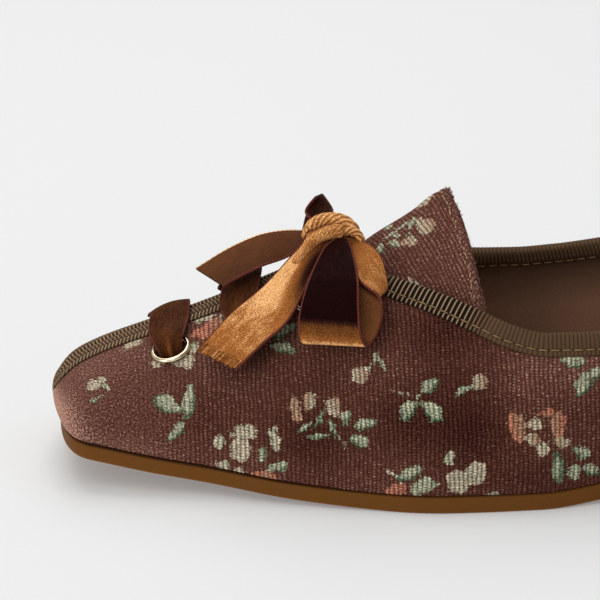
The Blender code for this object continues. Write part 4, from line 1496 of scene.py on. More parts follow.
# Each patch darkens or lightens the pile. The bright ones at the toe are a painted highlight: the sheen on its
# front and the light from the floor along its lower edge.
NAP_AND_HIGHLIGHT_PATCHES = (
    Patch(95, 15, 12, 9, -0.32),
    Patch(91, 39, 12, 8, -0.30),
    Patch(91, 26, 7, 6, -0.14),
    Patch(80, 18, 7, 7, -0.26),
    Patch(60, 11, 10, 8, -0.26),
    Patch(62, 26, 10, 6, -0.10),
    Patch(36, 11, 9, 8, -0.14),
    Patch(112, 4, 16, 5, -0.16),
    Patch(122, 17, 8, 6, -0.12),
    Patch(119, 31, 15, 8, 0.16),
    Patch(0, 3, 7, 9, 0.43),
    Patch(8, 20, 8, 8, 0.10),
    Patch(10, 0, 26, 4, 0.16),
    Patch(22, 30, 16, 8, 0.10),
)


def nap_tone(along, girth):
    """0.5 where the pile stands, toward 0 in darker patches and toward 1 in paler ones, a painted highlight at
    the toe.
    """
    tone = np.full_like(girth, 0.5)
    for patch in NAP_AND_HIGHLIGHT_PATCHES:
        far = ((along - patch.along) / patch.long) ** 2 + ((girth - patch.girth) / patch.wide) ** 2
        tone += patch.change * np.exp(-far)
    return np.clip(tone, 0, 1)


def velvet_upper():
    build = Builder()
    along = np.broadcast_to(columns_of[:, 0], girth.shape)
    around = distance_along(skin[len(skin) // 3])
    chart = np.stack([around + 0 * girth, girth, columns_of[:, 1] * 200 + 0 * girth], axis=-1)
    lanes = np.clip((along - LANES_FROM) / LANES_RUN, FLATTEST_LANES, 1)
    build.grid(
        skin, 0, keep=away_from_eyelets(skin, EYELET_HOLE), chart=chart, nap=nap_tone(along, girth),
        ink=upper_print.ink, tone=upper_print.tone, lanes=lanes,
    )
    inward = -unit(normals[0] * (1, 1, 0))
    under = [skin[0] + inward * reach - np.array([0, 0, drop]) for reach, drop in TURN_IN]
    under = np.stack(under[::-1])
    # The turn-in takes the darkest tone of the ramp: painted shade for the shadow line above the sole.
    dark = np.zeros(under.shape[:2])
    chart_under = np.broadcast_to(chart[0], under.shape)
    build.grid(under, 0, chart=chart_under, nap=dark, ink=dark + BARE, tone=dark, lanes=dark)
    piece = add_piece("velvet_upper", build, [VELVET])
    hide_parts("upper")
    return piece


velvet = velvet_upper()
print("velvet:", triangles(velvet), "triangles")

# %% [markdown]
# ## Lining and insole
# Inside, the shoe is lined with a plain brushed cloth the colour of wet clay, with painted light that makes
# it paler lower down in the collar and toward its back, and a padded sock lies on the insole. The lining is
# the last's surface again, one wall thickness further in, on a coarser grid, and a strip of it is carried
# across under the slit.

# %% Lining materials
def lining_material(name, colour):
    made, shader, tree, chart = charted_material(name, colour, 0.9, 0.05)
    brushed = use_group(tree, MOTTLE, Chart=chart, Patch_Size=0.7, Amount=0.5)
    drift = use_group(tree, MOTTLE, Chart=chart, Patch_Size=16.0, Amount=0.45)
    # On the lining this per-vertex number is painted light.
    shade = product(tree, brushed["Shade"], drift["Shade"], read_layer(tree, "nap"))
    put(tree, shader.inputs["Base Color"], shade_colour(tree, colour, shade))
    shader.inputs["Sheen Weight"].default_value = 0.10
    shader.inputs["Sheen Tint"].default_value = (1.0, 0.70, 0.55, 1)
    bump(tree, shader, brushed["Shade"], 0.15, 0.1)
    return made


LINING = lining_material("lining", (0.188, 0.104, 0.065))
SOCK = lining_material("sock", (0.220, 0.135, 0.092))
print("inside:", LINING.name, "and", SOCK.name)

# %% Lining and sock pieces
LINING_DEPTH = WALL - 0.1
LINING_HOLE = 3.4
# Painted light on the lining: paler toward the back of the collar and lower down.
LINING_TONE, PAINTED_LIGHT_GAIN = 0.62, 1.2
PAINTED_LIGHT_FROM, PAINTED_LIGHT_RUN = 75, 30
PAINTED_LIGHT_BELOW, PAINTED_LIGHT_DEEP = 6, 12
BACKING_START = 4.8
BACKING_HALF = 6.5
BACKING_DROP = 3.1
BACKING_TONE = 0.8


def slit_backing():
    """The lining carried across under the bound slit."""
    along = np.linspace(BACKING_START, THROAT - 0.6, 70)
    rows = []
    for share in np.linspace(-1, 1, 11):
        side = LATERAL if share < 0 else MEDIAL
        angle = offset_angle(along, side, abs(share) * BACKING_HALF)
        rows.append(last_point(along, side, angle) - (0, 0, BACKING_DROP))
    return np.stack(rows)


def lining_piece():
    coarse, facing, run, columns = upper_grid(upper_columns(1.5), 42)
    inside = (coarse - facing * LINING_DEPTH)[:, ::-1]
    chart = np.stack([coarse[..., 0], run, 0 * run], axis=-1)[:, ::-1]
    # Painted light: paler toward the back and lower down.
    behind = np.clip((columns[:, 0] - PAINTED_LIGHT_FROM) / PAINTED_LIGHT_RUN, 0, 1)
    deep = np.clip((run[-1] - run - PAINTED_LIGHT_BELOW) / PAINTED_LIGHT_DEEP, 0, 1)
    painted_light = LINING_TONE + PAINTED_LIGHT_GAIN * behind * deep
    build = Builder()
    build.grid(inside, 0, keep=away_from_eyelets(inside, LINING_HOLE), chart=chart, nap=painted_light[:, ::-1])
    backing = slit_backing()
    build.grid(backing, 0, chart=backing, nap=np.full(backing.shape[:2], BACKING_TONE))
    return add_piece("lining", build, [LINING])


def sock_piece():
    """The insole with its rim rounded over."""
    clearance, ends, margin, thickness = TUCK + WALL + 1.0, TUCK + WALL + 1.8, 1.0, 2.0
    shrink = 1 - 2 * clearance / BALL_WIDTH
    along = np.concatenate([[0.05], 25 * np.linspace(0.12, 1, 16) ** 2, np.linspace(28, 220, 90)])
    along = np.concatenate([along, LENGTH - 28 * np.linspace(0.98, 0.12, 16) ** 2, [LENGTH - 0.05]])
    x = ends + along * (1 - 2 * ends / LENGTH)
    left = axis(along) - half_width(along, LATERAL) * shrink + margin
    right = axis(along) + half_width(along, MEDIAL) * shrink - margin
    turn = np.linspace(-1, 1, 33)
    spread = np.sign(turn) * (1 - (1 - np.abs(turn)) ** 1.6)
    middle, half = (left + right) / 2, (right - left) / 2
    rim = 1 - np.clip((np.abs(spread) - 0.94) / 0.06, 0, 1) ** 2 * 0.8
    top = (feather(x) + 0.1)[:, None] + thickness * rim
    across = middle[:, None] + np.maximum(half, 0.05)[:, None] * spread
    grid = np.stack(np.broadcast_arrays(x[:, None], across, top), axis=-1)
    floor_grid = grid * (1, 1, 0) + np.array([0, 0, 1.0]) * (feather(x) + 0.05)[:, None, None]
    build = Builder()
    build.grid(grid[:, ::-1], 0, chart=grid[:, ::-1], nap=np.ones(grid.shape[:2]))
    build.grid(floor_grid, 0, chart=floor_grid, nap=np.ones(grid.shape[:2]))
    piece = add_piece("sock", build, [SOCK])
    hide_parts("insole")
    return piece


lining = lining_piece()
sock = sock_piece()
print("lining:", triangles(lining), "sock:", triangles(sock), "triangles")

# %% [markdown]
# ## The tongue
# The tongue is a double piece of the same velvet, topstitched a little inside its edge, coming up through
# the throat behind the knot. It is a curved sheet with a thickness, printed like the upper, and its lanes
# lean, as in cloth that is cut at a slant.

# %% Tongue shape
TONGUE_THICKNESS = 1.4
TONGUE_SPAN = math.radians(50)
TONGUE_CORNER_DROP = 7.8
TONGUE_TIP_ROUND = 0.12
TONGUE_TIP = 94.3
Tongue = namedtuple("Tongue", "along ridge width_share")
TONGUE = (
    Tongue(57, 41.6, 0.60),
    Tongue(66, 45.6, 0.63),
    Tongue(71, 49.4, 0.65),
    Tongue(77, 54.0, 0.67),
    Tongue(86, 59.7, 0.72),
    Tongue(91.5, 64.0, 0.75),
    Tongue(94.3, 65.0, 0.77),
    Tongue(102.1, 68.4, 0.80),
)


def tongue_point(along, side, angle):
    power = 2 / smooth(SECTIONS, "peak", along)
    base = feather(along)
    reach = smooth(TONGUE, "width_share", along) * half_width(along, side) * np.cos(angle) ** power
    height = base + (smooth(TONGUE, "ridge", along) - base) * np.sin(angle) ** power
    return np.stack([along, axis(along) + side * reach, height], axis=-1)


def tongue_grid(across_count, along_count):
    columns = []
    for turn in np.linspace(-1, 1, across_count):
        end = TONGUE_TIP + TONGUE_CORNER_DROP * (math.hypot(turn, TONGUE_TIP_ROUND) - TONGUE_TIP_ROUND)
        along = np.linspace(TONGUE[0].along, end, along_count)
        angle = math.pi / 2 - abs(turn) * TONGUE_SPAN
        columns.append(tongue_point(along, math.copysign(1, turn), angle))
    return np.stack(columns, axis=1)


def grid_normals(grid):
    """Normals of a grid of points, for offsets."""
    return unit(np.cross(np.gradient(grid, axis=1), np.gradient(grid, axis=0)))


tongue_top = tongue_grid(121, 90)
tongue_facing = grid_normals(tongue_top)
tongue_facing = tongue_facing * np.sign(tongue_facing[..., 2].mean())
print("tongue grid:", tongue_top.shape[:2])

# %% Tongue piece
SEEN_ON_TONGUE = (
    Seen("bud stem", (410, 234)),
    Seen("petal", (424, 201), 14),
    Seen("petal", (415, 284), -60, 0.7),
)
HEM_WIDTH = 2.2
HEM_RISE = 0.3
EDGE_ROLL = 0.9
RIB_LEAN = math.radians(22.5)
TONGUE_NAP, HEM_NAP = 0.56, 0.10
TONGUE_LANES, HEM_LANES = 0.9, 0.8


def tongue_piece():
    cloth = Print(tongue_top)
    print_seen(cloth, bvh_of(tongue_top), SEEN_ON_TONGUE)
    rows, across = tongue_top.shape[:2]
    over = distance_along(tongue_top[rows // 2])
    along = tongue_top[..., 0]
    lane = along * math.cos(RIB_LEAN) + over * math.sin(RIB_LEAN)
    down_lane = over * math.cos(RIB_LEAN) - along * math.sin(RIB_LEAN)
    chart = np.stack(np.broadcast_arrays(lane, down_lane, 90.0), axis=-1)
    from_side = np.broadcast_to(np.minimum(over, over[-1] - over), (rows, across))
    from_tip = (along[-1] - along) * 1.2
    inside = np.minimum(from_side, from_tip)
    hem = np.clip(1 - inside / HEM_WIDTH, 0, 1)
    roll = np.clip(1 - inside / EDGE_ROLL, 0, 1) ** 2 * TONGUE_THICKNESS / 2
    rise = HEM_RISE * np.sin(np.clip(inside / HEM_WIDTH, 0, 1) * math.pi) - roll
    top = tongue_top + tongue_facing * rise[..., None]
    under = tongue_top - tongue_facing * (TONGUE_THICKNESS - roll)[..., None]
    blank = np.zeros((rows, across))
    lanes = TONGUE_LANES - HEM_LANES * (hem > 0)
    nap = TONGUE_NAP + HEM_NAP * hem
    build = Builder()
    build.grid(top, 0, chart=chart, nap=nap, ink=cloth.ink, tone=cloth.tone, lanes=lanes)
    build.grid(under[:, ::-1], 1, chart=chart, nap=blank + 1, ink=blank + BARE, tone=blank, lanes=blank)
    piece = add_piece("tongue_velvet", build, [TONGUE_VELVET, LINING])
    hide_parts("tongue")
    return piece


tongue = tongue_piece()
print("tongue:", triangles(tongue), "triangles")

# %% [markdown]
# ## The binding
# A grosgrain tape folds over every cut edge: down both sides of the slit and round the collar. Grosgrain
# has heavy ribs across it, about one a millimetre, and they show in the outline, so they are real
# geometry. Their tone is painted light: a painted highlight on each crest and painted shade between the
# ribs, in the groove and at the edges. On the vamp the ribs lean both ways from a groove, like herringbone.
# Where the edge bends at the throat the tape is stretched, and its ribs open into pale threads over dark
# gaps of painted shade.

# %% Binding material
# Rib tones, from the painted shade between ribs to the painted highlight on their crests.
RIB_TONES = (
    (0.00, (0.0060, 0.0034, 0.0018)),
    (0.35, (0.0380, 0.0212, 0.0108)),
    (0.70, (0.1350, 0.0750, 0.0390)),
    (1.00, (0.6200, 0.4600, 0.2850)),
)


def grosgrain_material():
    made, shader, tree, chart = charted_material("grosgrain", (0.1, 0.07, 0.04), 0.8, 0.08)
    fine = use_group(tree, WEAVE, Chart=chart, Warp_Pitch=0.24, Weft_Pitch=0.32, Slub=0.4)
    drift = use_group(tree, MOTTLE, Chart=chart, Patch_Size=14.0, Amount=0.4)
    shade = product(tree, fine["Shade"], drift["Shade"])
    colour = ramp(tree, read_layer(tree, "rib"), RIB_TONES)
    put(tree, shader.inputs["Base Color"], shade_colour(tree, colour, shade))
    bump(tree, shader, fine["Height"], 0.3, 0.08)
    return made


GROSGRAIN = grosgrain_material()
THREAD = woven_material("binding thread", (0.300, 0.185, 0.085), 0.25)
TONGUE_THREAD = woven_material("tongue thread", (0.480, 0.350, 0.210), 0.25)
print("tape and threads:", GROSGRAIN.name, THREAD.name, TONGUE_THREAD.name)

# %% Path of the bound edge
RIB_PITCH = 0.95
STEPS_PER_RIB = 5
BINDING_OUTSIDE = 5.0
BINDING_START = 0.15


def at_places(run, values, places):
    """Points read off a line at the given distances along it."""
    return np.stack([np.interp(places, run, values[:, k]) for k in range(3)], axis=1)


def edge_line():
    """The bound edge from the toe up the lateral side, round the heel and back, in even steps."""
    along = np.concatenate([
        np.linspace(BINDING_START, THROAT - 0.01, 900),
        np.linspace(THROAT, LENGTH - HEEL_ROUND, 1500),
        LENGTH - HEEL_ROUND * np.linspace(1, 0, 900)[1:] ** 2.2,
    ])
    lateral = last_point(along, LATERAL, edge_angle(along, LATERAL))
    medial = last_point(along, MEDIAL, edge_angle(along, MEDIAL))
    line = np.concatenate([lateral, medial[-2::-1]])
    where = np.concatenate([along, along[-2::-1]])
    side = np.concatenate([np.full(len(along), LATERAL), np.full(len(along) - 1, MEDIAL)])
    run = distance_along(line)
    even = np.arange(0, run[-1], RIB_PITCH / STEPS_PER_RIB)
    sides = np.where(np.interp(even, run, side) < 0, LATERAL, MEDIAL)
    return at_places(run, line, even), even, np.interp(even, run, where), sides


def on_skin(spots):
    """The nearest points of the upper's skin."""
    return np.array([from_frame(skin_tree.find_nearest(Vector(spot))[0]) for spot in to_frame(spots)])


edge, edge_run, edge_along, edge_side = edge_line()
print("bound edge:", round(float(edge_run[-1])), "mm,", len(edge), "steps")

# %% Frame of the bound edge
def smooth_rows(values, width):
    """A running mean along a path, to steady directions read from a faceted skin."""
    kernel = np.hanning(2 * width + 3)[1:-1]
    kernel = kernel / kernel.sum()
    padded = np.concatenate([np.repeat(values[:1], width, 0), values, np.repeat(values[-1:], width, 0)])
    return np.stack([np.convolve(padded[:, k], kernel, "valid") for k in range(values.shape[1])], axis=1)


edge_ahead = unit(smooth_rows(np.gradient(edge, axis=0), 8))
edge_facing = surface_normal(edge_along, LATERAL, 0.5)
for side in SIDES.values():
    chosen = edge_side == side
    angle = np.clip(edge_angle(edge_along[chosen], side) - 0.02, 0.02, math.pi / 2)
    edge_facing[chosen] = surface_normal(edge_along[chosen], side, angle)
edge_facing = unit(smooth_rows(edge_facing, 6))
edge_down = unit(np.cross(edge_ahead, edge_facing))
edge_down[edge_down[:, 2] > 0.2] *= -1
print("mean fall of the tape:", np.round(edge_down.mean(0), 2))

# %% Ribs of the binding
LegPoint = namedtuple("LegPoint", "down lift swell row")
INNER_LEG = (
    LegPoint(0.4, 0.55, 1.0, 0),
    LegPoint(2.0, 0.50, 1.0, 0),
    LegPoint(3.8, 0.45, 0.8, 0),
    LegPoint(4.0, 0.05, 0.0, 0),
)
RIB_SWELL = 0.17
RIB_LEAN_VAMP = 0.30
RIB_LEAN_INSIDE = 0.16
RIB_SPREAD = 0.25
RibTone = namedtuple("RibTone", "base gain power")
COLLAR_RIBS = RibTone(0.30, 0.34, 1.0)
VAMP_RIBS = RibTone(0.10, 0.78, 1.6)
INSIDE_RIBS = RibTone(0.30, 0.52, 1.5)
STRETCH_FROM, STRETCH_TO, STRETCH_SOFT = 76, 102, 5.0
GROOVE_VAMP, GROOVE_COLLAR = 2.5, 3.5
VAMP_END, VAMP_FADE = 72, 8
FOLD_TURNS = np.linspace(0.15, 0.85, 5) * math.pi
FOLD_LIFT = 0.55
FOLD_HEIGHT = 0.62


def stretch_share():
    opens = np.clip((edge_along - STRETCH_FROM) / STRETCH_SOFT, 0, 1)
    return opens * np.clip((STRETCH_TO - edge_along) / STRETCH_SOFT, 0, 1)


def rib_tone(ribs, crest):
    return ribs.base + ribs.gain * crest**ribs.power


on_vamp = np.clip((VAMP_END - edge_along) / VAMP_FADE, 0, 1)
groove = GROOVE_COLLAR + (GROOVE_VAMP - GROOVE_COLLAR) * on_vamp

# %% Legs of the binding
def outer_leg():
    """Places down the outside leg: ribs, the stitched groove, and a second row shifted by half a rib."""
    return (
        LegPoint(BINDING_OUTSIDE + 0 * groove, 0.10, 0.0, 1),
        LegPoint(BINDING_OUTSIDE - 0.15 + 0 * groove, 0.42, 0.6, 1),
        LegPoint((BINDING_OUTSIDE + groove) / 2, 0.52, 1.0, 1),
        LegPoint(groove + 0.35, 0.50, 0.9, 1),
        LegPoint(groove, 0.34, 0.2, 0),
        LegPoint(groove - 0.35, 0.50, 0.9, 0),
        LegPoint(groove / 2, 0.60, 1.0, 0),
        LegPoint(0.4 + 0 * groove, 0.62, 1.0, 0),
    )

# %% Binding piece
def binding_piece():
    stretched = stretch_share() * np.where(edge_side == LATERAL, 1.0, 0.4)
    rib_count = np.cumsum(1 / (STEPS_PER_RIB * (1 + RIB_SPREAD * stretched)))
    thin = np.clip(np.minimum(edge_run, edge_run[-1] - edge_run) / 6.0, 0.55, 1)

    def rib_at(row, down):
        """How pale and how proud the ribs are: the paleness is painted light on the crests. On the vamp they
        lean both ways from the groove.
        """
        phase = rib_count + (0.5 * row + RIB_LEAN_VAMP * np.abs(down - groove)) * on_vamp
        crest = np.abs(np.sin(phase * math.pi)) ** 0.7
        plain = rib_tone(COLLAR_RIBS, crest)
        rib = plain + (rib_tone(VAMP_RIBS, crest) - plain) * on_vamp
        return rib + (crest**8 - rib) * stretched, (crest - 0.5) * RIB_SWELL

    rings, ribs, spans = [], [], []
    for point in outer_leg():
        rib, swell = rib_at(point.row, point.down)
        place = on_skin(edge + edge_down * point.down[:, None])
        rings.append(place + edge_facing * ((point.lift + swell * point.swell) * thin)[:, None])
        # Painted shade at the tape's outer edge and in the groove, where the ribs lie low.
        ribs.append(rib * (0.25 + 0.75 * min(point.swell, 0.6) / 0.6))
        spans.append(point.down)
    rib, swell = rib_at(0, 0.0)
    for turn in FOLD_TURNS:
        outward = math.cos(turn) * (WALL / 2 + FOLD_LIFT * thin) - WALL / 2
        upward = (math.sin(turn) * FOLD_HEIGHT + 0.05 + swell) * thin
        rings.append(edge - edge_down * upward[:, None] + edge_facing * outward[:, None])
        ribs.append(rib)
        spans.append(0 * rib - math.sin(turn))
    for point in INNER_LEG:
        place = on_skin(edge + edge_down * point.down)
        rings.append(place - edge_facing * (WALL + point.lift + swell * point.swell)[:, None])
        crest = np.abs(np.sin((edge_run / RIB_PITCH + RIB_LEAN_INSIDE * point.down) * math.pi))
        # Painted shade where the inner leg meets the lining.
        ribs.append(rib_tone(INSIDE_RIBS, crest) * (1.0 if point.swell else 0.5))
        spans.append(0 * rib - 2 - point.down)
    spans = np.stack(spans, axis=1)
    chart = np.stack(np.broadcast_arrays(edge_run[:, None], spans, 300.0), axis=-1)
    build = Builder()
    build.grid(np.stack(rings, axis=1), 0, chart=chart, rib=np.stack(ribs, axis=1))
    piece = add_piece("grosgrain_binding", build, [GROSGRAIN])
    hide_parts("binding")
    return piece


binding = binding_piece()
print("binding:", triangles(binding), "triangles,", int(edge_run[-1] / RIB_PITCH), "ribs")

# %% [markdown]
# ### Stitches
# A lockstitch shows as a row of short dashes, each dipping into the cloth at both ends. Every dash is a
# little tube bent down at its ends, and each row is one joined mesh: one outside the collar, one inside
# it, and a less even one round the tongue.

# %% Stitches
Stitch = namedtuple("Stitch", "length gap radius astray")
BINDING_STITCH = Stitch(2.3, 0.45, 0.15, 0.0)
INSIDE_STITCH = Stitch(2.3, 0.45, 0.13, 0.0)
TONGUE_STITCH = Stitch(0.62, 0.42, 0.14, 0.45)
DIP = np.array([-0.28, -0.02, 0.06, 0.08, 0.06, -0.02, -0.28])
THREAD_SIDES = 6
STITCH_LIFT, STITCH_LIFT_INSIDE, TOPSTITCH_LIFT = 0.46, 0.50, 0.12
uneven = np.random.default_rng(8)


def stitch_row(name, line, facing, stitch, thread):
    """Dashes of thread along a line, lying on the surface whose normals are given."""
    run = distance_along(line)
    build = Builder()
    starts = np.arange(0.3, run[-1] - stitch.length, stitch.length + stitch.gap)
    for start in starts:
        length = stitch.length * (1 + stitch.astray * uneven.uniform(-1.5, 1.0))
        places = start + stitch.astray * uneven.uniform(-1, 1) + np.linspace(0, length, len(DIP))
        outward = unit(at_places(run, facing, places))
        sideways = np.cross(outward, unit(np.gradient(at_places(run, line, places), axis=0)))
        middle = at_places(run, line, places) + outward * DIP[:, None]
        middle = middle + sideways * stitch.astray * uneven.uniform(-1, 1)
        rings = tube(middle, stitch.radius, THREAD_SIDES)
        build.grid(rings, 0, wrap=True, chart=chart_of(places, np.arange(THREAD_SIDES) * 0.18))
    piece = add_piece(name, build, [thread])
    print(name, "has", len(starts), "stitches,", triangles(piece), "triangles")
    return piece


stitch_line = on_skin(edge + edge_down * groove[:, None])
collar = on_vamp < 0.6
outside_line = (stitch_line + edge_facing * STITCH_LIFT)[collar]
inside_line = (stitch_line - edge_facing * (WALL + STITCH_LIFT_INSIDE))[collar]
stitch_row("binding_stitches", outside_line, edge_facing[collar], BINDING_STITCH, THREAD)
stitch_row("binding_stitches_inside", inside_line, -edge_facing[collar], INSIDE_STITCH, THREAD)

# %% Tongue topstitch
TOPSTITCH_INSET = 1.9


def tongue_border(grid, inset):
    """A line round the tongue's free edge, the given distance inside it."""
    rows, across = grid.shape[:2]
    over = distance_along(tongue_top[rows // 2])
    aside = int(round(inset / (over[-1] / (across - 1))))
    back = rows - 1 - int(round(inset / 0.45))
    first = rows // 4
    sides = grid[first:back, aside], grid[first:back, -aside - 1][::-1]
    return np.concatenate([sides[0], grid[back, aside : across - aside], sides[1]])


topstitch_facing = tongue_border(tongue_facing, TOPSTITCH_INSET)
topstitch_line = tongue_border(tongue_top, TOPSTITCH_INSET) + topstitch_facing * TOPSTITCH_LIFT
stitch_row("tongue_stitches", topstitch_line, topstitch_facing, TONGUE_STITCH, TONGUE_THREAD)

# %% [markdown]
# The raw edge of a velvet is fuzzy: cut pile works loose along it. A fringe of very short fibres round the
# tongue's edge, one joined mesh, gives that soft outline.

# %% Tongue fuzz
FIBRES = 1500
FIBRE_RADIUS = 0.055


def tongue_fuzz():
    rim, inner = (tongue_border(tongue_top, inset) for inset in (0.0, 2.0))
    facing = tongue_border(tongue_facing, 0.0)
    inner = at_places(np.linspace(0, 1, len(inner)), inner, np.linspace(0, 1, len(rim)))
    run = distance_along(rim)
    build = Builder()
    for place in uneven.uniform(0, run[-1], FIBRES):
        edge_point, within, outward = (at_places(run, line, [place])[0] for line in (rim, inner, facing))
        root = edge_point + (within - edge_point) * uneven.uniform(0.0, 0.55)
        way = unit(edge_point - within) * uneven.uniform(0.1, 1.0)
        way = way + unit(outward) * uneven.uniform(0.1, 0.9)
        way = unit(way + uneven.normal(0, 0.35, 3))
        tip = root + way * uneven.uniform(0.35, 0.85)
        rings = tube(np.array([root - unit(outward) * 0.4, tip]), FIBRE_RADIUS, 3)
        flat = np.zeros(rings.shape[:2])
        nap = flat + uneven.uniform(0.55, 1.0)
        build.grid(rings, 0, wrap=True, chart=rings, nap=nap, ink=flat + BARE, tone=flat, lanes=flat)
    return add_piece("tongue_fuzz", build, [TONGUE_VELVET])


fuzz = tongue_fuzz()
print("fibres:", FIBRES, "-", triangles(fuzz), "triangles")

# %% [markdown]
# ## Eyelets
# Each eyelet is a rolled brass grommet in pale gold: a round flange over the velvet and a barrel through
# the wall. A profile is turned about the hole's axis, which tilts a little toward the slit as the ribbon
# pulls it, in steps fine enough for a smooth highlight.

# %% Eyelets
# The radius and the lift of each ring of the turned profile, from the barrel over the flange.
EYELET_RINGS = (
    (3.60, -2.3), (3.60, 0.2), (3.66, 0.55), (3.86, 0.84), (4.15, 0.98),
    (4.45, 0.92), (4.70, 0.68), (4.82, 0.36), (4.78, 0.12), (4.20, 0.05),
)
EYELET_STEPS = 56
EYELET_TILT = math.radians(8)
EYELET_SINK = 0.2


def gold_material():
    made, shader, tree, chart = charted_material("pale gold", (0.86, 0.70, 0.43), 0.2)
    shader.inputs["Metallic"].default_value = 1.0
    # Strong patches of darker and paler gold are a painted reflection; the same patches set the roughness.
    drift = use_group(tree, MOTTLE, Chart=chart, Patch_Size=1.9, Amount=2.4)
    painted_reflection = maths(tree, "MINIMUM", maths(tree, "MAXIMUM", drift["Shade"], 0.12), 1.15)
    put(tree, shader.inputs["Base Color"], shade_colour(tree, (0.88, 0.74, 0.50), painted_reflection))
    put(tree, shader.inputs["Roughness"], product(tree, painted_reflection, 0.16))
    return made


GOLD = gold_material()


def eyelet_piece(node, place):
    point, straight, uphill = place
    sideways = np.cross(straight, uphill)
    normal = straight * math.cos(EYELET_TILT) + uphill * math.sin(EYELET_TILT)
    toward = uphill * math.cos(EYELET_TILT) - straight * math.sin(EYELET_TILT)
    point = point - straight * EYELET_SINK
    turns = np.linspace(0, 2 * math.pi, EYELET_STEPS, endpoint=False)
    spokes = np.cos(turns)[:, None] * toward + np.sin(turns)[:, None] * sideways
    rings = np.stack([point + spokes * radius + normal * lift for radius, lift in EYELET_RINGS])
    build = Builder()
    build.grid(rings, 0, wrap=True, chart=rings)
    piece = add_piece(f"gold_{node}", build, [GOLD])
    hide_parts(node)


for node, place in EYELETS.items():
    eyelet_piece(node, place)
print("eyelets:", len(EYELETS))

# %% [markdown]
# ## Ribbon bars
# Between the eyelets the ribbon crosses the slit in bars, its plush face up and crushed dark. It is drawn
# into each hole, so its width closes to a third, and the spare width stands up in one soft fold down the
# middle, with a painted bronze highlight along it. Between the holes its selvedges droop below the middle.

# %% Ribbon bars
BAR_CREST = (3.2, 4.4, 3.0)
Bar = namedtuple("Bar", "lift toward width")
BAR_SIDE = (
    Bar(-3.4, -1.6, 3.4),
    Bar(-0.9, -1.4, 4.4),
    Bar(1.0, -0.3, 5.4),
    Bar(2.6, 2.2, 7.4),
)
BAR_SHOULDER_OFFSET = 6.0
BAR_SHOULDER_SHARE = 0.65
BAR_WIDTH = 9.5
BAR_PLEAT = 0.12
BAR_DROOP = 0.8


def bar_look(run, turn, spare):
    """Dark plush, with a painted bronze highlight along the middle fold where it is drawn into an eyelet."""
    fold = np.exp(-((turn / 0.30) ** 2)) * np.clip(spare / 0.6, 0, 1)[:, None]
    return Tones(0.31 + 0.24 * fold, 0.2, 0.0)


def bar_piece(number, along, crest):
    rows = []
    for word, side in SIDES.items():
        point, normal, toward = EYELETS[f"eyelet_{word}_{number}"]
        half = [(*(point + normal * row.lift + toward * row.toward), row.width) for row in BAR_SIDE]
        angle = float(offset_angle(along, side, BAR_SHOULDER_OFFSET))
        lift = crest * BAR_SHOULDER_SHARE
        shoulder = last_point(along, side, angle) + surface_normal(along, side, angle) * lift
        half.append((*shoulder, BAR_WIDTH))
        rows.append(half)
    top = (along, float(axis(along)), float(ridge(along)) + crest, BAR_WIDTH)
    path = smooth_path([*rows[0], top, *rows[1][::-1]], RIBBON_STEPS)
    slope = last_point(np.array([along - 4, along + 4]), LATERAL, math.pi / 2)
    across = unit(np.diff(slope, axis=0))[0]
    half_across = across * path[:, 3:] / 2
    edges = np.concatenate([path[:, :3] - half_across, path[:, :3] + half_across], axis=1)
    piece, _, _ = ribbon(f"ribbon_bar_{number}", edges, bar_look, -1, BAR_WIDTH, BAR_PLEAT, BAR_DROOP)
    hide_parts(f"lace_bar_{number}")


for number, (along, crest) in enumerate(zip(EYELET_ALONG, BAR_CREST), start=1):
    bar_piece(number, along, crest)
print("bars:", len(BAR_CREST))

# %% [markdown]
# ## The sole
# The outsole is one moulded slab of caramel rubber that follows the last's outline with a narrow rim,
# springs at the toe and rises over a low heel. At the toe a thin gap shows between it and the upper. Its
# edges are softly rounded, the upper one painted darker and the lower one given a painted highlight, which
# is the thin bright line along the bottom. Rings across the shoe, joined end to end, make both sole and heel.

# %% Rubber
def rubber_material():
    made, shader, tree, chart = charted_material("caramel rubber", (0.19, 0.07, 0.01), 0.6, 0.1)
    drift = use_group(tree, MOTTLE, Chart=chart, Patch_Size=22.0, Amount=0.22)
    grain = use_group(tree, MOTTLE, Chart=chart, Patch_Size=0.5, Amount=0.16)
    # The per-vertex number is painted light on the rims.
    shade = product(tree, drift["Shade"], grain["Shade"], read_layer(tree, "nap"))
    put(tree, shader.inputs["Base Color"], shade_colour(tree, (0.138, 0.051, 0.0078), shade))
    put(tree, shader.inputs["Roughness"], product(tree, grain["Shade"], 0.6))
    bump(tree, shader, grain["Shade"], 0.12, 0.1)
    return made


RUBBER = rubber_material()


def sole_columns(first, last):
    toe = TOE_ROUND * np.linspace(0.03, 1, 40) ** 2.2
    middle = np.linspace(TOE_ROUND + 1.5, LENGTH - HEEL_ROUND, 140)
    heel = LENGTH - HEEL_ROUND * np.linspace(0.98, 0.03, 40) ** 2.2
    every = np.concatenate([toe, middle, heel])
    return np.concatenate([[first], every[(every > first + 0.05) & (every < last - 0.05)], [last]])


print("sole material:", RUBBER.name)

# %% Outsole and heel
TOP_ROUND = 0.5
TREAD_ROUND = 0.9
# Painted light round the profile, top rim to bottom rim: darker at the top, a painted highlight on the lower
# round.
RIM_PAINTED_LIGHT = (0.6, 0.7, 0.85, 0.95, 1.0, 1.05, 1.2, 1.6, 1.9, 1.4)
HEEL_BREAST = 194.0
HEEL_TAPER = 1.5
HEEL_INSET = 0.6


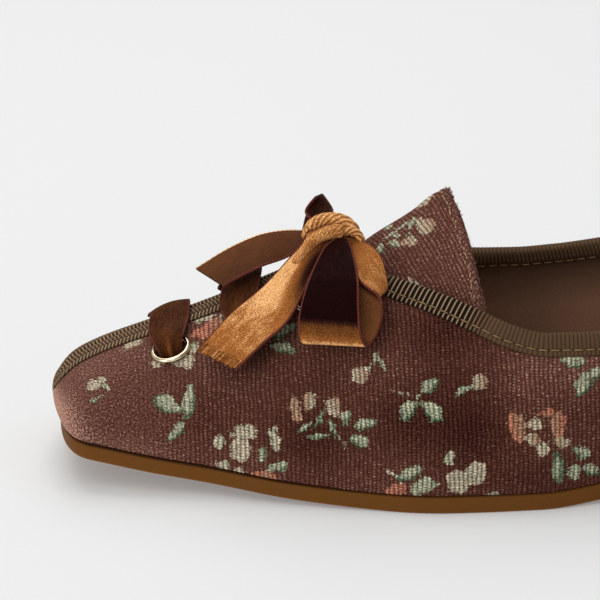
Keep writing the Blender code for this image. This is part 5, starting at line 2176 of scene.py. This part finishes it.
def slab(name, plan_high, plan_low, high, low, nodes):
    """Rings of a slab whose top and bottom outlines and heights are given, with rounded rims."""
    quarter = np.linspace(0, math.pi / 2, 5)
    side = [(TOP_ROUND * (1 - math.sin(t)), TOP_ROUND * (1 - math.cos(t)), 0) for t in quarter]
    side += [(TREAD_ROUND * (1 - math.cos(t)), TREAD_ROUND * (1 - math.sin(t)), 1) for t in quarter]
    half = []
    for inset, drop, bottom in side:
        z = low + drop if bottom else high - drop
        share = (high - z) / np.maximum(high - low, 1e-6)
        x, left, right = (above + (below - above) * share for above, below in zip(plan_high, plan_low))
        half.append((x, left + inset, right - inset, z))
    middle = (plan_high[1] + plan_high[2]) / 2
    ring = [np.stack([x, np.minimum(left, middle), z], axis=-1) for x, left, right, z in half]
    ring += [np.stack([x, np.maximum(right, middle), z], axis=-1) for x, left, right, z in half[::-1]]
    grid = np.stack(ring, axis=1)
    # Painted light on the rims.
    painted_light = np.broadcast_to(RIM_PAINTED_LIGHT + RIM_PAINTED_LIGHT[::-1], grid.shape[:2])
    build = Builder()
    build.grid(grid, 0, wrap=True, chart=grid, nap=painted_light)
    rungs = np.arange(len(half) - 1)
    far_side = 2 * len(half) - 1 - rungs
    cap = np.stack([rungs + 1, rungs, far_side, far_side - 1], axis=1)
    build.join(cap)
    build.join(cap[:, ::-1] + 2 * len(half) * (len(grid) - 1))
    piece = add_piece(name, build, [RUBBER])
    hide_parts(*nodes)
    print(name, triangles(piece), "triangles")


SEAM_GAP = 0.12
TOE_GAP, TOE_GAP_END, TOE_GAP_RUN = 0.42, 90, 50
HEEL_SEAM = 0.05
sole_along = sole_columns(0.05, LENGTH - 0.05)
sole_outline = sole_plan(sole_along, 0)
seam_gap = SEAM_GAP + TOE_GAP * np.clip((TOE_GAP_END - sole_along) / TOE_GAP_RUN, 0, 1)
slab(
    "rubber_outsole", sole_outline, sole_outline,
    tread(sole_along) + SOLE_THICKNESS - seam_gap, tread(sole_along), ["outsole"],
)
heel_along = sole_columns(HEEL_BREAST, LENGTH - 0.1)
slab(
    "rubber_heel", sole_plan(heel_along, HEEL_INSET), sole_plan(heel_along, HEEL_INSET + HEEL_TAPER),
    tread(heel_along) - HEEL_SEAM, 0 * heel_along, ["heel"],
)
